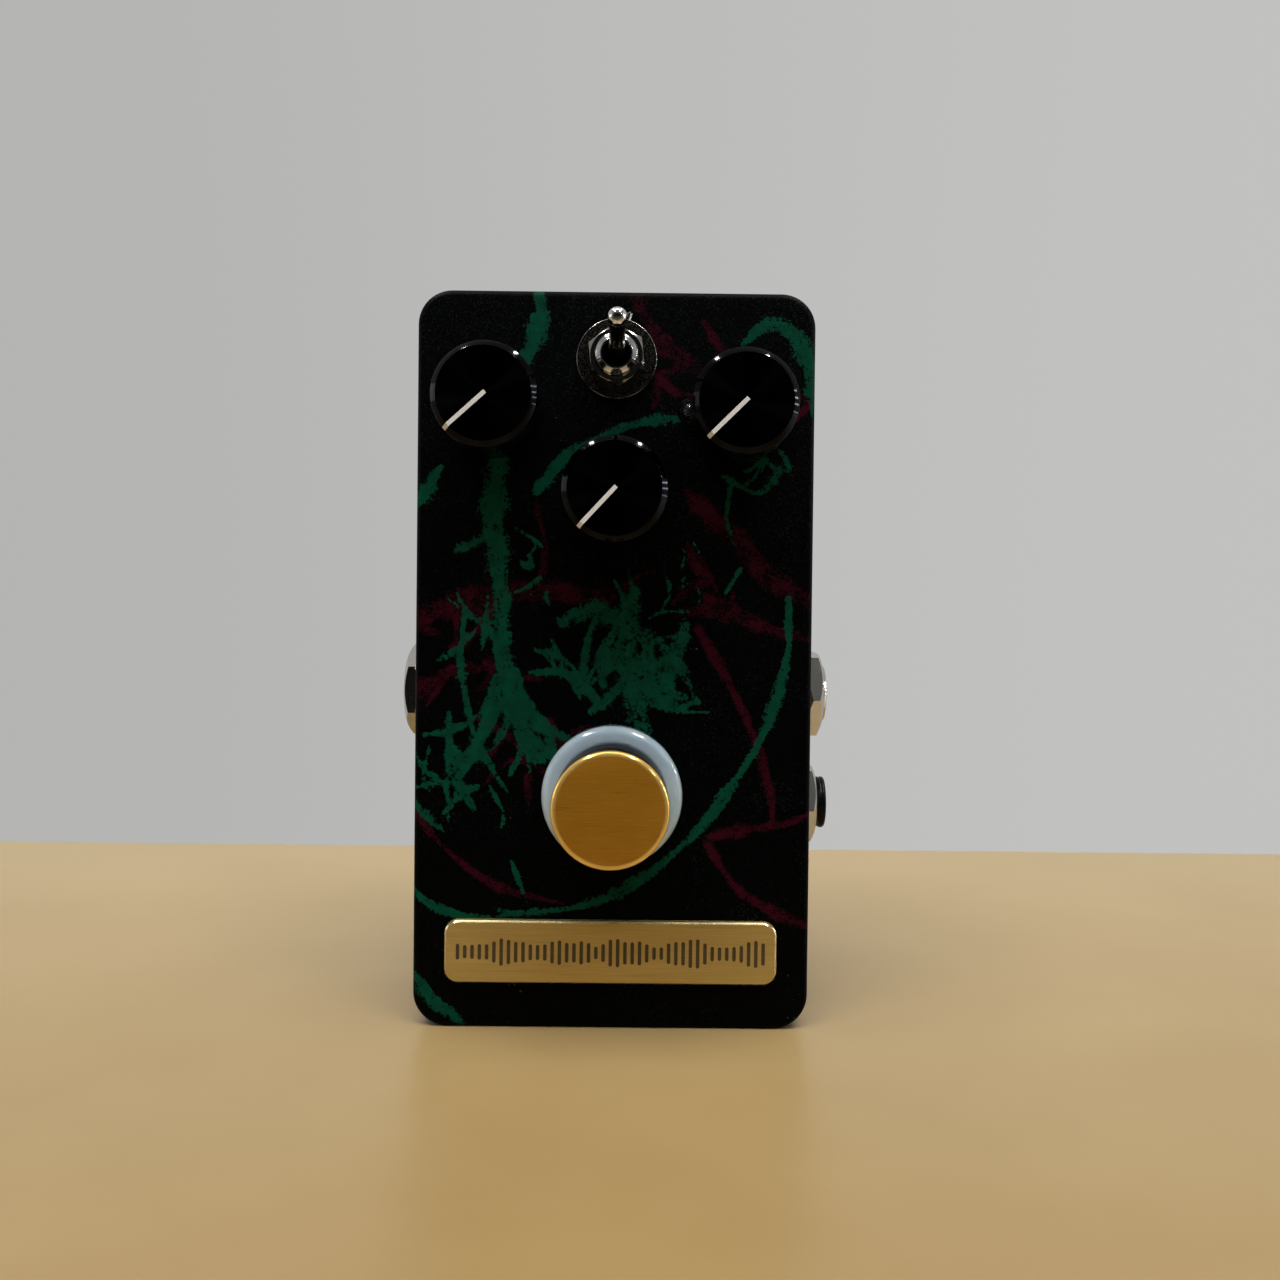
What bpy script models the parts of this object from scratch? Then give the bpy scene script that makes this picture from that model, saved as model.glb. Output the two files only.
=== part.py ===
"""Guitar effects pedal: a die-cast box with three knobs, a toggle switch, an
indicator lamp, a foot switch, two phone jacks and a DC power jack.

The scene is in metres and the sizes below are in millimetres.  The pedal stands
upright on its lower short end: +X is to the right seen from the control face,
+Z runs up along the length, and the control face looks along -Y.  The origin is
the centre of the lower end face.  The control face is the plane Y = -15.5 mm and
the outer face of the base plate is Y = +15.5 mm, with rubber feet behind it.

Most parts are modelled in a local frame on the control face: local x is +X,
local y is +Z and heights along local z rise out of the face, so anything inside
the box has a negative height.
"""
import math

import bmesh
import bpy
from mathutils import Matrix, Vector

MM = 0.001

# ------------------------------------------------- sizes shared by several parts
BOX_W, BOX_H, BOX_D = 60.5, 112.4, 31.0    # width, height, depth of the box
FACE_Y = -BOX_D / 2                        # plane of the control face
WALL = 2.2                                 # thickness of the cast walls
CORNER_R = 5.2                             # outer corner radius
GAP = 0.3                                  # clearance between touching pieces
OVER = 1.0                                 # overrun of a cutter past a surface
INNER = -WALL - GAP                        # height of a part seated inside a wall

LID_T = 3.2                                # thickness of the base plate
LID_LOW = -BOX_D                           # outer face of the base plate
LID_HIGH = LID_LOW + LID_T                 # inner face of the base plate
SHELL_D = BOX_D - LID_T - GAP              # depth of the cast shell

# Lid screws at the four corners, bottom pair first, left before right.
SCREW_INSET = 5.1
SCREW_HOLE_R = 1.8
SCREW_POS = [(side * (BOX_W / 2 - SCREW_INSET), z)
             for z in (SCREW_INSET, BOX_H - SCREW_INSET) for side in (-1, 1)]

# Controls on the face, as (X, Z), and the bushings that pass through it.
KNOB_POS = {"left": (-18.4, 94.0), "center": (0.1, 80.95), "right": (18.5, 93.5)}
TOGGLE_POS = (0.0, 102.1)
LED_POS = (11.4, 94.2)
SWITCH_POS = (0.0, 36.0)
POT_BUSH_R = 3.5
TOGGLE_BUSH_R = 3.175
LED_HOLE_R = 2.25
SWITCH_BUSH_R = 6.0

# Sockets in the sides, on one line at this Y.
SOCKET_Y = -1.5
JACK_BUSH_R = 4.76
# name: side, Z, height of the bushing's end, turn of the nut in degrees
JACKS = {"input": ("right", 50.9, 3.75, 36.5), "output": ("left", 50.9, 3.4, 1.8)}
DC_Z, DC_BARREL_R = 33.1, 4.15

TOGGLE_LUGS = (-4.7, 0.0, 4.7)             # lugs along local y
BOARD_FRONT, BOARD_T = -11.9, 1.6          # circuit board
BOARD_BACK = BOARD_FRONT - BOARD_T

WASHER_T = 0.5                             # washers of the pots and jacks
SET_SCREW_R, SET_HOLE_R = 1.2, 1.5

# Turns that carry a local +Z (outwards) onto each side of the box.
TURN = {
    "front": (math.pi / 2, 0.0, 0.0),     # local x, y are +X, +Z
    "right": (0.0, math.pi / 2, 0.0),     # local x, y are -Z, +Y
    "left": (0.0, -math.pi / 2, 0.0),     # local x, y are +Z, +Y
}


def on_face(pos):
    """Place on the control face at (X, Z)."""
    return (pos[0], FACE_Y, pos[1])


def on_side(side, z):
    """Place on the socket line of the left or right side."""
    sign = 1 if side == "right" else -1
    return (sign * BOX_W / 2, SOCKET_Y, z)


FACE_ORIGIN = on_face((0, 0))


# ----------------------------------------------------------------- materials
def material(name, rgb, roughness, metallic=0.0, transmission=0.0):
    mat = bpy.data.materials.new(name)
    mat.use_nodes = True
    inputs = mat.node_tree.nodes["Principled BSDF"].inputs
    inputs["Base Color"].default_value = (*rgb, 1.0)
    inputs["Roughness"].default_value = roughness
    inputs["Metallic"].default_value = metallic
    inputs["Transmission Weight"].default_value = transmission
    mat.diffuse_color = (*rgb, 1.0)
    return mat


PAINT = material("painted_case", rgb=(0.006, 0.006, 0.007), roughness=0.42)
BLACK_ALU = material("black_anodised", rgb=(0.008, 0.008, 0.009), roughness=0.28, metallic=0.9)
GOLD = material("gold_anodised", rgb=(0.62, 0.33, 0.06), roughness=0.22, metallic=1.0)
BRASS = material("brass_plate", rgb=(0.60, 0.45, 0.20), roughness=0.35, metallic=1.0)
CHROME = material("chrome_hardware", rgb=(0.72, 0.71, 0.68), roughness=0.16, metallic=1.0)
DARK_STEEL = material("dark_steel", rgb=(0.20, 0.19, 0.18), roughness=0.38, metallic=1.0)
STEEL = material("zinc_steel", rgb=(0.55, 0.55, 0.54), roughness=0.32, metallic=1.0)
MILKY = material("milky_ring", rgb=(0.50, 0.56, 0.60), roughness=0.12)
CLEAR = material("clear_lens", rgb=(0.85, 0.87, 0.88), roughness=0.08, transmission=0.8)
PLASTIC = material("black_plastic", rgb=(0.012, 0.012, 0.013), roughness=0.35)
RUBBER = material("rubber_feet", rgb=(0.02, 0.02, 0.02), roughness=0.75)
BOARD = material("circuit_board", rgb=(0.01, 0.10, 0.05), roughness=0.40)
POT_CASE = material("pot_case", rgb=(0.03, 0.13, 0.30), roughness=0.45)
SLEEVE = material("capacitor_sleeve", rgb=(0.01, 0.02, 0.06), roughness=0.40)
WIRE_RED = material("red_wire", rgb=(0.45, 0.01, 0.01), roughness=0.45)
WIRE_BLACK = material("black_wire", rgb=(0.01, 0.01, 0.01), roughness=0.45)
COPPER = material("contact_metal", rgb=(0.75, 0.60, 0.35), roughness=0.28, metallic=1.0)


# ------------------------------------------------------- bodies, sizes in mm
def lathe(profile, steps):
    """Turned body about local Z from (radius, height) points.

    The profile runs from the axis to the axis, or is a closed loop.
    """
    body = bmesh.new()
    verts = [body.verts.new((radius * MM, 0, height * MM)) for radius, height in profile]
    edges = [body.edges.new(pair) for pair in zip(verts, verts[1:])]
    if not (profile[0][0] == 0 and profile[-1][0] == 0):
        edges.append(body.edges.new((verts[-1], verts[0])))
    bmesh.ops.spin(body, geom=verts + edges, cent=(0, 0, 0), axis=(0, 0, 1),
                   dvec=(0, 0, 0), angle=2 * math.pi, steps=steps, use_merge=True,
                   use_duplicate=False)
    bmesh.ops.remove_doubles(body, verts=body.verts[:], dist=1e-6)
    bmesh.ops.recalc_face_normals(body, faces=body.faces[:])
    return body


def disc(radius, low, high, steps=24):
    return lathe([(0, low), (radius, low), (radius, high), (0, high)], steps)


def prism(outline, low, high):
    """Straight body from an outline in local x, y, between two heights."""
    body = bmesh.new()
    face = body.faces.new([body.verts.new((x * MM, y * MM, low * MM)) for x, y in outline])
    extruded = bmesh.ops.extrude_face_region(body, geom=[face])["geom"]
    top = [item for item in extruded if isinstance(item, bmesh.types.BMVert)]
    bmesh.ops.translate(body, verts=top, vec=(0, 0, (high - low) * MM))
    bmesh.ops.recalc_face_normals(body, faces=body.faces[:])
    return body


def skin(rings, closed=False):
    """Body through rings of points, its ends capped unless it closes on itself."""
    body = bmesh.new()
    rows = [[body.verts.new([c * MM for c in point]) for point in ring] for ring in rings]
    pairs = list(zip(rows, rows[1:]))
    if closed:
        pairs.append((rows[-1], rows[0]))
    for row, following in pairs:
        for k in range(len(row)):
            j = (k + 1) % len(row)
            body.faces.new((row[k], row[j], following[j], following[k]))
    if not closed:
        body.faces.new(rows[0])
        body.faces.new(rows[-1])
    return body


def nut(across_flats, bore_r, low, high, turn_deg, steps=18):
    """Hexagon nut with a round bore, its corners at turn_deg + 30 and every 60."""
    rings = []
    for i in range(steps):
        angle = 2 * math.pi * i / steps
        off_flat = (math.degrees(angle) + 30.0) % 60.0 - 30.0
        hex_r = across_flats / 2 / math.cos(math.radians(30.0 - abs(off_flat)))
        angle += math.radians(turn_deg)
        rings.append([(r * math.cos(angle), r * math.sin(angle), height)
                      for r, height in ((bore_r, low), (hex_r, low),
                                        (hex_r, high), (bore_r, high))])
    return skin(rings, closed=True)


def rect(x0, x1, y0, y1):
    return [(x0, y0), (x1, y0), (x1, y1), (x0, y1)]


def centred_rect(width, height):
    return rect(-width / 2, width / 2, -height / 2, height / 2)


def rounded(width, height, radius, steps, centre_y=0.0):
    """Outline of a rectangle with rounded corners."""
    outline = []
    for quarter, (sx, sy) in enumerate(((1, 1), (-1, 1), (-1, -1), (1, -1))):
        corner_x = sx * (width / 2 - radius)
        corner_y = centre_y + sy * (height / 2 - radius)
        for i in range(steps + 1):
            angle = math.radians(90 * quarter + 90 * i / steps)
            outline.append((corner_x + radius * math.cos(angle),
                            corner_y + radius * math.sin(angle)))
    return outline


def moved(body, x, y, z=0.0):
    bmesh.ops.translate(body, verts=body.verts[:], vec=(x * MM, y * MM, z * MM))
    return body


def together(bodies):
    """One mesh holding several bodies, each kept apart from the others."""
    result = bmesh.new()
    for body in bodies:
        mesh = bpy.data.meshes.new("tmp")
        body.to_mesh(mesh)
        body.free()
        result.from_mesh(mesh)
        bpy.data.meshes.remove(mesh)
    return result


def bevel_at(body, height, width, segments):
    """Bevel the edges that lie at one height."""
    edges = [edge for edge in body.edges
             if all(abs(vert.co.z - height * MM) < 1e-6 for vert in edge.verts)]
    bmesh.ops.bevel(body, geom=edges, offset=width * MM, segments=segments,
                    profile=0.5, affect="EDGES")
    return body


# ------------------------------------------------------------------- objects
def piece(name, body, mat, place=FACE_ORIGIN, turn=TURN["front"], sharp_deg=35):
    """Object from a body, at a place in mm and turned by Euler angles."""
    bmesh.ops.remove_doubles(body, verts=body.verts[:], dist=2e-7)
    bmesh.ops.recalc_face_normals(body, faces=body.faces[:])
    mesh = bpy.data.meshes.new(name)
    body.to_mesh(mesh)
    body.free()
    if mat is not None:
        mesh.materials.append(mat)
    mesh.shade_smooth()
    mesh.set_sharp_from_angle(angle=math.radians(sharp_deg))
    ob = bpy.data.objects.new(name, mesh)
    bpy.context.scene.collection.objects.link(ob)
    ob.location = [c * MM for c in place]
    ob.rotation_euler = turn
    return ob


def boolean(target, operation, helper):
    helper.hide_render = True
    helper.display_type = "WIRE"
    modifier = target.modifiers.new(operation.lower(), "BOOLEAN")
    modifier.operation = operation
    modifier.solver = "EXACT"
    modifier.object = helper


def helper_in_frame(target, name, body):
    """Helper object in the local frame of its target."""
    helper = piece(name, body, None)
    helper.location = target.location
    helper.rotation_euler = target.rotation_euler
    return helper


def cut(target, name, body):
    boolean(target, "DIFFERENCE", helper_in_frame(target, name, body))


def union(target, name, body):
    boolean(target, "UNION", helper_in_frame(target, name, body))


def washer(name, mat, outer_r, bushing_r, thickness, place, turn=TURN["front"], steps=20):
    """Flat washer lying just off the wall around a bushing."""
    inner_r, high = bushing_r + GAP, GAP + thickness
    piece(name, lathe([(inner_r, GAP), (outer_r, GAP), (outer_r, high), (inner_r, high)],
                      steps), mat, place, turn)


def hold(name, place, parts):
    """Parent the moving parts to an empty on their axis."""
    empty = bpy.data.objects.new(name, None)
    bpy.context.scene.collection.objects.link(empty)
    empty.empty_display_size = 0.004
    empty.location = [c * MM for c in place]
    for part in parts:
        part.parent = empty
        part.matrix_parent_inverse = Matrix.Translation(empty.location).inverted()


def fit_set_screw(part, hole_name, screw_name, place, direction, height,
                  shaft_r, part_r, screw_end):
    """Cut a radial hole at a height of a turned part and return its set screw."""
    turn = Vector((*direction, 0)).to_track_quat("Z", "Y").to_matrix()
    hole = disc(SET_HOLE_R, shaft_r + 0.1, part_r + OVER, 12)
    screw = disc(SET_SCREW_R, shaft_r + GAP, screw_end, 12)
    for body in (hole, screw):
        bmesh.ops.rotate(body, verts=body.verts[:], cent=(0, 0, 0), matrix=turn)
        moved(body, 0, 0, height)
    cut(part, hole_name, hole)
    return piece(screw_name, screw, DARK_STEEL, place)


# ---------------------------------------------------------------- cast shell
FACE_R = 1.0                               # rounding of the face's edge
BOSS_R = 3.6
SCREW_HOLE_END = -12.0


def build_shell():
    body = prism(rounded(BOX_W, BOX_H, CORNER_R, 5, BOX_H / 2), -SHELL_D, 0.0)
    shell = piece("enclosure_shell", bevel_at(body, 0.0, FACE_R, 2), PAINT)
    cavity = rounded(BOX_W - 2 * WALL, BOX_H - 2 * WALL, CORNER_R - WALL, 3, BOX_H / 2)
    cut(shell, "cut_cavity", prism(cavity, -SHELL_D - 2 * OVER, -WALL))
    union(shell, "add_bosses", together(
        moved(disc(BOSS_R, -SHELL_D + 0.2, -WALL / 2, 14), x, z) for x, z in SCREW_POS))

    openings = [(pos, POT_BUSH_R + GAP) for pos in KNOB_POS.values()]
    openings += [(TOGGLE_POS, TOGGLE_BUSH_R + GAP), (LED_POS, LED_HOLE_R),
                 (SWITCH_POS, SWITCH_BUSH_R + GAP)]
    holes = [moved(disc(radius, -WALL - OVER, 2 * OVER, 20), x, z)
             for (x, z), radius in openings]
    holes += [moved(disc(SCREW_HOLE_R, -SHELL_D - OVER, SCREW_HOLE_END, 12), x, z)
              for x, z in SCREW_POS]
    cut(shell, "cut_face_holes", together(holes))

    sockets = [(side, z, JACK_BUSH_R + GAP) for side, z, _, _ in JACKS.values()]
    sockets.append(("right", DC_Z, DC_BARREL_R + GAP))
    for i, (side, z, radius) in enumerate(sockets):
        hole = disc(radius, -WALL - 1.5 * OVER, OVER, 20)
        boolean(shell, "DIFFERENCE",
                piece("cut_side_%d" % i, hole, None, on_side(side, z), TURN[side]))


# ---------------------------------------------------------------- base plate
LIP_T = 1.6                                # thickness of the locating lip
LIP_LOW, LIP_HIGH = LID_HIGH - 0.6, LID_HIGH + 1.6
SIDE_LIP_END = 12.0                        # from the box's end to a long lip's end
END_LIP_HALF = 18.0                        # half the length of a short lip
COUNTERSINK_R, COUNTERSINK_D = 3.3, 1.5


def build_base_plate():
    body = prism(rounded(BOX_W, BOX_H, CORNER_R, 5, BOX_H / 2), LID_LOW, LID_HIGH)
    plate = piece("base_plate", bevel_at(body, LID_LOW, 0.5, 1), PAINT)
    inset = WALL + GAP
    side, top = BOX_W / 2 - inset, BOX_H - inset
    lips = (
        rect(side - LIP_T, side, SIDE_LIP_END, BOX_H - SIDE_LIP_END),
        rect(-side, -side + LIP_T, SIDE_LIP_END, BOX_H - SIDE_LIP_END),
        rect(-END_LIP_HALF, END_LIP_HALF, inset, inset + LIP_T),
        rect(-END_LIP_HALF, END_LIP_HALF, top - LIP_T, top),
    )
    union(plate, "add_lip", together(prism(lip, LIP_LOW, LIP_HIGH) for lip in lips))
    countersink = [(0, LID_LOW - OVER), (COUNTERSINK_R, LID_LOW - OVER),
                   (COUNTERSINK_R, LID_LOW), (SCREW_HOLE_R, LID_LOW + COUNTERSINK_D),
                   (SCREW_HOLE_R, LID_HIGH + OVER), (0, LID_HIGH + OVER)]
    cut(plate, "cut_countersinks", together(
        moved(lathe(countersink, 14), x, z) for x, z in SCREW_POS))


def build_lid_screws():
    """Countersunk cross-head screws."""
    shank_r, shank_end, head_r = 1.5, -14.5, 2.85
    head_low, head_high = LID_LOW + 0.1, LID_LOW + 1.45
    profile = [(0, head_low), (head_r, head_low), (shank_r, head_high),
               (shank_r, shank_end), (0, shank_end)]
    a, b = 0.35, 1.5                       # half width and reach of the cross recess
    cross = [(a, a), (a, b), (-a, b), (-a, a), (-b, a), (-b, -a),
             (-a, -a), (-a, -b), (a, -b), (a, -a), (b, -a), (b, a)]
    tags = ("bottom_left", "bottom_right", "top_left", "top_right")
    for tag, pos in zip(tags, SCREW_POS):
        screw = piece("lid_screw_" + tag, lathe(profile, 14), STEEL, on_face(pos))
        cut(screw, "cut_cross_" + tag, prism(cross, LID_LOW - OVER, LID_LOW + 1.0))


def build_rubber_feet():
    radius, thickness = 4.8, 2.4
    front = LID_LOW - GAP
    profile = [(0, front), (radius, front), (radius, front - 1.0),
               (radius - 0.5, front - 1.9), (radius - 1.4, front - thickness),
               (0, front - thickness)]
    places = [(x, z) for z in (14.0, 98.4) for x in (-21.0, 21.0)]
    for i, pos in enumerate(places, start=1):
        piece("rubber_foot_%d" % i, lathe(profile, 18), RUBBER, on_face(pos))


# ----------------------------------------------------------------- nameplate
PLATE_POS = (0.0, 11.9)
PLATE_W, PLATE_H, PLATE_T, PLATE_R = 50.6, 9.6, 1.0, 2.1


def build_nameplate():
    body = prism(rounded(PLATE_W, PLATE_H, PLATE_R, 5), GAP, GAP + PLATE_T)
    piece("nameplate", bevel_at(body, GAP + PLATE_T, 0.3, 1), BRASS, on_face(PLATE_POS))


# ------------------------------------------------------------ pots and knobs
POT_W, POT_D = 9.5, 6.5                    # case
POT_LOW, POT_HIGH = -5.2, 6.0              # case's ends in local y from the shaft
POT_BUSH_TOP, POT_BORE_FLOOR, POT_BACK = 3.8, -6.0, -7.0
POT_WASHER_R = 4.4
POT_NUT_AF, POT_NUT_T = 10.0, 2.0          # AF is the size across flats
SHAFT_R, SHAFT_NECK_R, SHAFT_TOP = 3.0, 2.2, 12.8

KNOB_POINTER = {"left": 47.8, "center": 42.7, "right": 45.2}   # degrees from down to the left
KNOB_R, KNOB_LOW, KNOB_TOP, KNOB_CHAMFER = 7.5, 2.0, 15.5, 0.8
KNOB_RECESS_R, KNOB_RECESS_TOP = 6.3, 4.5  # hollow underneath
POINTER_W, POINTER_D = 0.6, 0.25           # groove in the top
KNOB_SCREW_H, KNOB_SCREW_END = 8.0, 6.6


def build_pot(side, place):
    bore_r = SHAFT_NECK_R + GAP
    pot = piece(side + "_pot_body", lathe(
        [(0, POT_BORE_FLOOR), (bore_r, POT_BORE_FLOOR), (bore_r, POT_BUSH_TOP),
         (POT_BUSH_R, POT_BUSH_TOP), (POT_BUSH_R, POT_BACK), (0, POT_BACK)], 18),
        POT_CASE, place)
    case_back = INNER - POT_D
    union(pot, "add_case_" + side,
          prism(rect(-POT_W / 2, POT_W / 2, POT_LOW, POT_HIGH), case_back, INNER))
    union(pot, "add_legs_" + side, together(
        prism(rect(x - 0.5, x + 0.5, -4.6, -4.1), BOARD_FRONT + GAP, case_back + 0.5)
        for x in (-2.5, 0.0, 2.5)))
    # reopen the bore that the case filled
    cut(pot, "cut_bore_" + side, disc(bore_r, POT_BORE_FLOOR, POT_BUSH_TOP + OVER, 18))

    washer(side + "_pot_washer", STEEL, POT_WASHER_R, POT_BUSH_R, WASHER_T, place)
    nut_low = 2 * GAP + WASHER_T
    piece(side + "_pot_nut",
          nut(POT_NUT_AF, POT_BUSH_R + GAP, nut_low, nut_low + POT_NUT_T, 15.0), STEEL, place)


def build_pot_shaft(side, place):
    end, shoulder, chamfer = POT_BORE_FLOOR + GAP, POT_BUSH_TOP + GAP, 0.4
    return piece(side + "_pot_shaft", lathe(
        [(0, end), (SHAFT_NECK_R, end), (SHAFT_NECK_R, shoulder), (SHAFT_R, shoulder),
         (SHAFT_R, SHAFT_TOP - chamfer), (SHAFT_R - chamfer, SHAFT_TOP), (0, SHAFT_TOP)],
        16), STEEL, place)


def build_knob(side, place):
    """Knob with a pointer groove; returns it and its set screw."""
    bore_r, bore_top = SHAFT_R + GAP, SHAFT_TOP + GAP
    knob = piece(side + "_knob", lathe(
        [(0, KNOB_TOP), (KNOB_R - KNOB_CHAMFER, KNOB_TOP), (KNOB_R, KNOB_TOP - KNOB_CHAMFER),
         (KNOB_R, KNOB_LOW + 0.2), (KNOB_R - 0.2, KNOB_LOW), (KNOB_RECESS_R, KNOB_LOW),
         (KNOB_RECESS_R, KNOB_RECESS_TOP), (bore_r, KNOB_RECESS_TOP), (bore_r, bore_top),
         (0, bore_top)], 30), BLACK_ALU, place, sharp_deg=30)
    angle = math.radians(KNOB_POINTER[side])
    half = POINTER_W / 2
    groove = prism([(-half, 0.0), (-half, -9.0), (half, -9.0), (half, 0.0)],
                   KNOB_TOP - POINTER_D, KNOB_TOP + OVER)
    bmesh.ops.rotate(groove, verts=groove.verts[:], cent=(0, 0, 0),
                     matrix=Matrix.Rotation(-angle, 3, "Z"))
    cut(knob, "cut_pointer_" + side, groove)
    opposite_pointer = (math.sin(angle), math.cos(angle))
    screw = fit_set_screw(knob, "cut_set_hole_" + side, side + "_knob_set_screw", place,
                          opposite_pointer, KNOB_SCREW_H, SHAFT_R, KNOB_R, KNOB_SCREW_END)
    return knob, screw


def build_controls():
    for side, pos in KNOB_POS.items():
        place = on_face(pos)
        build_pot(side, place)
        shaft = build_pot_shaft(side, place)
        knob, screw = build_knob(side, place)
        hold(side + "_knob_axis", place, (knob, shaft, screw))


# ------------------------------------------------------------- toggle switch
TOGGLE_W, TOGGLE_L, TOGGLE_D = 7.0, 13.0, 9.0              # case
TOGGLE_BUSH_TOP, TOGGLE_BORE_R, TOGGLE_MOUTH_R = 4.9, 2.4, 2.7
TOGGLE_NUT_AF, TOGGLE_NUT_T, TOGGLE_NUT_TURN = 8.0, 2.0, 36.0
TOGGLE_WASHER_R, TOGGLE_WASHER_T = 6.1, 0.6
TOGGLE_PIVOT_H = 2.0                                       # pivot above the face
TOGGLE_TILT = 9.15                         # degrees from upright, towards +Z


def build_toggle_switch():
    place, top, case_back = on_face(TOGGLE_POS), TOGGLE_BUSH_TOP, INNER - TOGGLE_D
    body = piece("toggle_body", disc(TOGGLE_BUSH_R, -4.0, top, 20), CHROME, place)
    union(body, "add_toggle_case", prism(centred_rect(TOGGLE_W, TOGGLE_L), case_back, INNER))
    union(body, "add_toggle_lugs", together(
        prism(rect(-0.6, 0.6, y - 0.3, y + 0.3), case_back - 4, case_back + 0.5)
        for y in TOGGLE_LUGS))
    cut(body, "cut_toggle_bore", lathe(
        [(0, -3.6), (TOGGLE_BORE_R, -3.6), (TOGGLE_BORE_R, top - 1.0), (TOGGLE_MOUTH_R, top),
         (TOGGLE_MOUTH_R, top + OVER), (0, top + OVER)], 20))
    washer("toggle_washer", DARK_STEEL, TOGGLE_WASHER_R, TOGGLE_BUSH_R, TOGGLE_WASHER_T,
           place, steps=24)
    low = 2 * GAP + TOGGLE_WASHER_T
    piece("toggle_nut", nut(TOGGLE_NUT_AF, TOGGLE_BUSH_R + GAP, low, low + TOGGLE_NUT_T,
                            TOGGLE_NUT_TURN), CHROME, place)


def build_toggle_lever():
    """Lever: ball at the pivot, tapering stem, ball at the tip."""
    pivot_r, tip_r, tip_h = 2.1, 1.38, 14.82
    profile = [(0.0, -4.4), (0.6, -4.4), (0.8, -4.1), (0.8, -1.95)]
    for i in range(1, 6):
        angle = math.radians(-68 + 136 * i / 6)
        profile.append((pivot_r * math.cos(angle), pivot_r * math.sin(angle)))
    profile += [(1.2, 1.9), (1.12, 12.0), (1.02, 13.6)]
    for i in range(1, 7):
        angle = math.radians(-44 + 134 * i / 7)
        profile.append((tip_r * math.cos(angle), tip_h + tip_r * math.sin(angle)))
    profile.append((0.0, tip_h + tip_r))
    pivot = (TOGGLE_POS[0], FACE_Y - TOGGLE_PIVOT_H, TOGGLE_POS[1])
    piece("toggle_lever", lathe(profile, 12), CHROME, pivot,
          (math.radians(90 - TOGGLE_TILT), 0, 0))


# ------------------------------------------------------------ indicator lamp
LED_R, LED_TOP = 1.5, 1.3


def build_lamp():
    place = on_face(LED_POS)
    dome = [(LED_R * math.cos(math.radians(a)),
             LED_TOP - LED_R + LED_R * math.sin(math.radians(a))) for a in (0, 22.5, 45, 67.5)]
    piece("led_lens", lathe([(0, -4.0), (1.6, -4.0), (1.6, -3.1), (LED_R, -3.1)] + dome
                            + [(0, LED_TOP)], 14), CLEAR, place)
    bore_r = LED_R + GAP
    piece("led_bezel", lathe([(bore_r, -2.0), (2.0, -2.0), (2.0, GAP), (2.1, GAP),
                              (2.1, 0.45), (2.0, 0.6), (bore_r, 0.6)], 16), CHROME, place)


# --------------------------------------------------------------- foot switch
SWITCH_BUSH_TOP, SWITCH_BORE_R = 5.0, 4.0
SWITCH_W, SWITCH_H, SWITCH_D = 17.2, 16.0, 12.0
FLANGE_BACK = INNER - 1.2
SWITCH_FRONT = FLANGE_BACK - GAP           # front of the plastic body
SWITCH_BACK = SWITCH_FRONT - SWITCH_D
SWITCH_NUT_AF, SWITCH_NUT_T = 14.0, 2.2
RING_R, RING_IN_R, RING_TOP = 10.6, 8.4, 4.3
RING_FLOOR = 1.4                           # inner step of the ring, under the nut
CAP_R, CAP_LOW, CAP_TOP, CAP_ROUND = 8.35, 7.6, 17.9, 0.8
CAP_RECESS_R, CAP_RECESS_TOP = 6.6, 9.6    # hollow underneath
CAP_SCREW_H, CAP_SCREW_END = 12.2, 8.0
PLUNGER_R, BUTTON_R, BUTTON_LOW, BUTTON_TOP = 3.7, 4.95, 8.4, 15.6


def build_footswitch_bushing(place):
    bushing = piece("footswitch_bushing", lathe(
        [(SWITCH_BORE_R, FLANGE_BACK), (SWITCH_BUSH_R, FLANGE_BACK),
         (SWITCH_BUSH_R, SWITCH_BUSH_TOP - 0.4), (SWITCH_BUSH_R - 0.4, SWITCH_BUSH_TOP),
         (SWITCH_BORE_R, SWITCH_BUSH_TOP)], 24), STEEL, place)
    union(bushing, "add_switch_flange",
          prism(centred_rect(SWITCH_W, SWITCH_H), FLANGE_BACK, INNER))
    cut(bushing, "cut_switch_bore",
        disc(SWITCH_BORE_R, FLANGE_BACK - OVER, SWITCH_BUSH_TOP + OVER, 24))


def build_footswitch_body(place):
    body = piece("footswitch_body", prism(centred_rect(SWITCH_W, SWITCH_H),
                                          SWITCH_BACK, SWITCH_FRONT), PLASTIC, place)
    union(body, "add_switch_lugs", together(
        prism(rect(x - 0.9, x + 0.9, y - 0.35, y + 0.35), SWITCH_BACK - 4.0, SWITCH_BACK + 0.6)
        for x in (-5.0, 0.0, 5.0) for y in (-4.8, 0.0, 4.8)))
    cut(body, "cut_switch_well",
        disc(SWITCH_BORE_R, SWITCH_FRONT - 10.2, SWITCH_FRONT + OVER, 24))


def build_footswitch_ring(place):
    """Milky ring on the face, with the nut inside it."""
    bore_r = SWITCH_BUSH_R + GAP
    piece("footswitch_ring", lathe(
        [(bore_r, GAP), (RING_R - 0.5, GAP), (RING_R, GAP + 0.5), (RING_R, 2.5),
         (RING_R - 0.35, 3.5), (RING_R - 0.95, 4.15), (9.5, RING_TOP), (8.85, 4.15),
         (RING_IN_R, 3.6), (RING_IN_R, RING_FLOOR), (bore_r, RING_FLOOR)], 32),
        MILKY, place, sharp_deg=40)
    low = RING_FLOOR + GAP
    piece("footswitch_nut", nut(SWITCH_NUT_AF, bore_r, low, low + SWITCH_NUT_T, 10.0, 24),
          CHROME, place)


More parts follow.
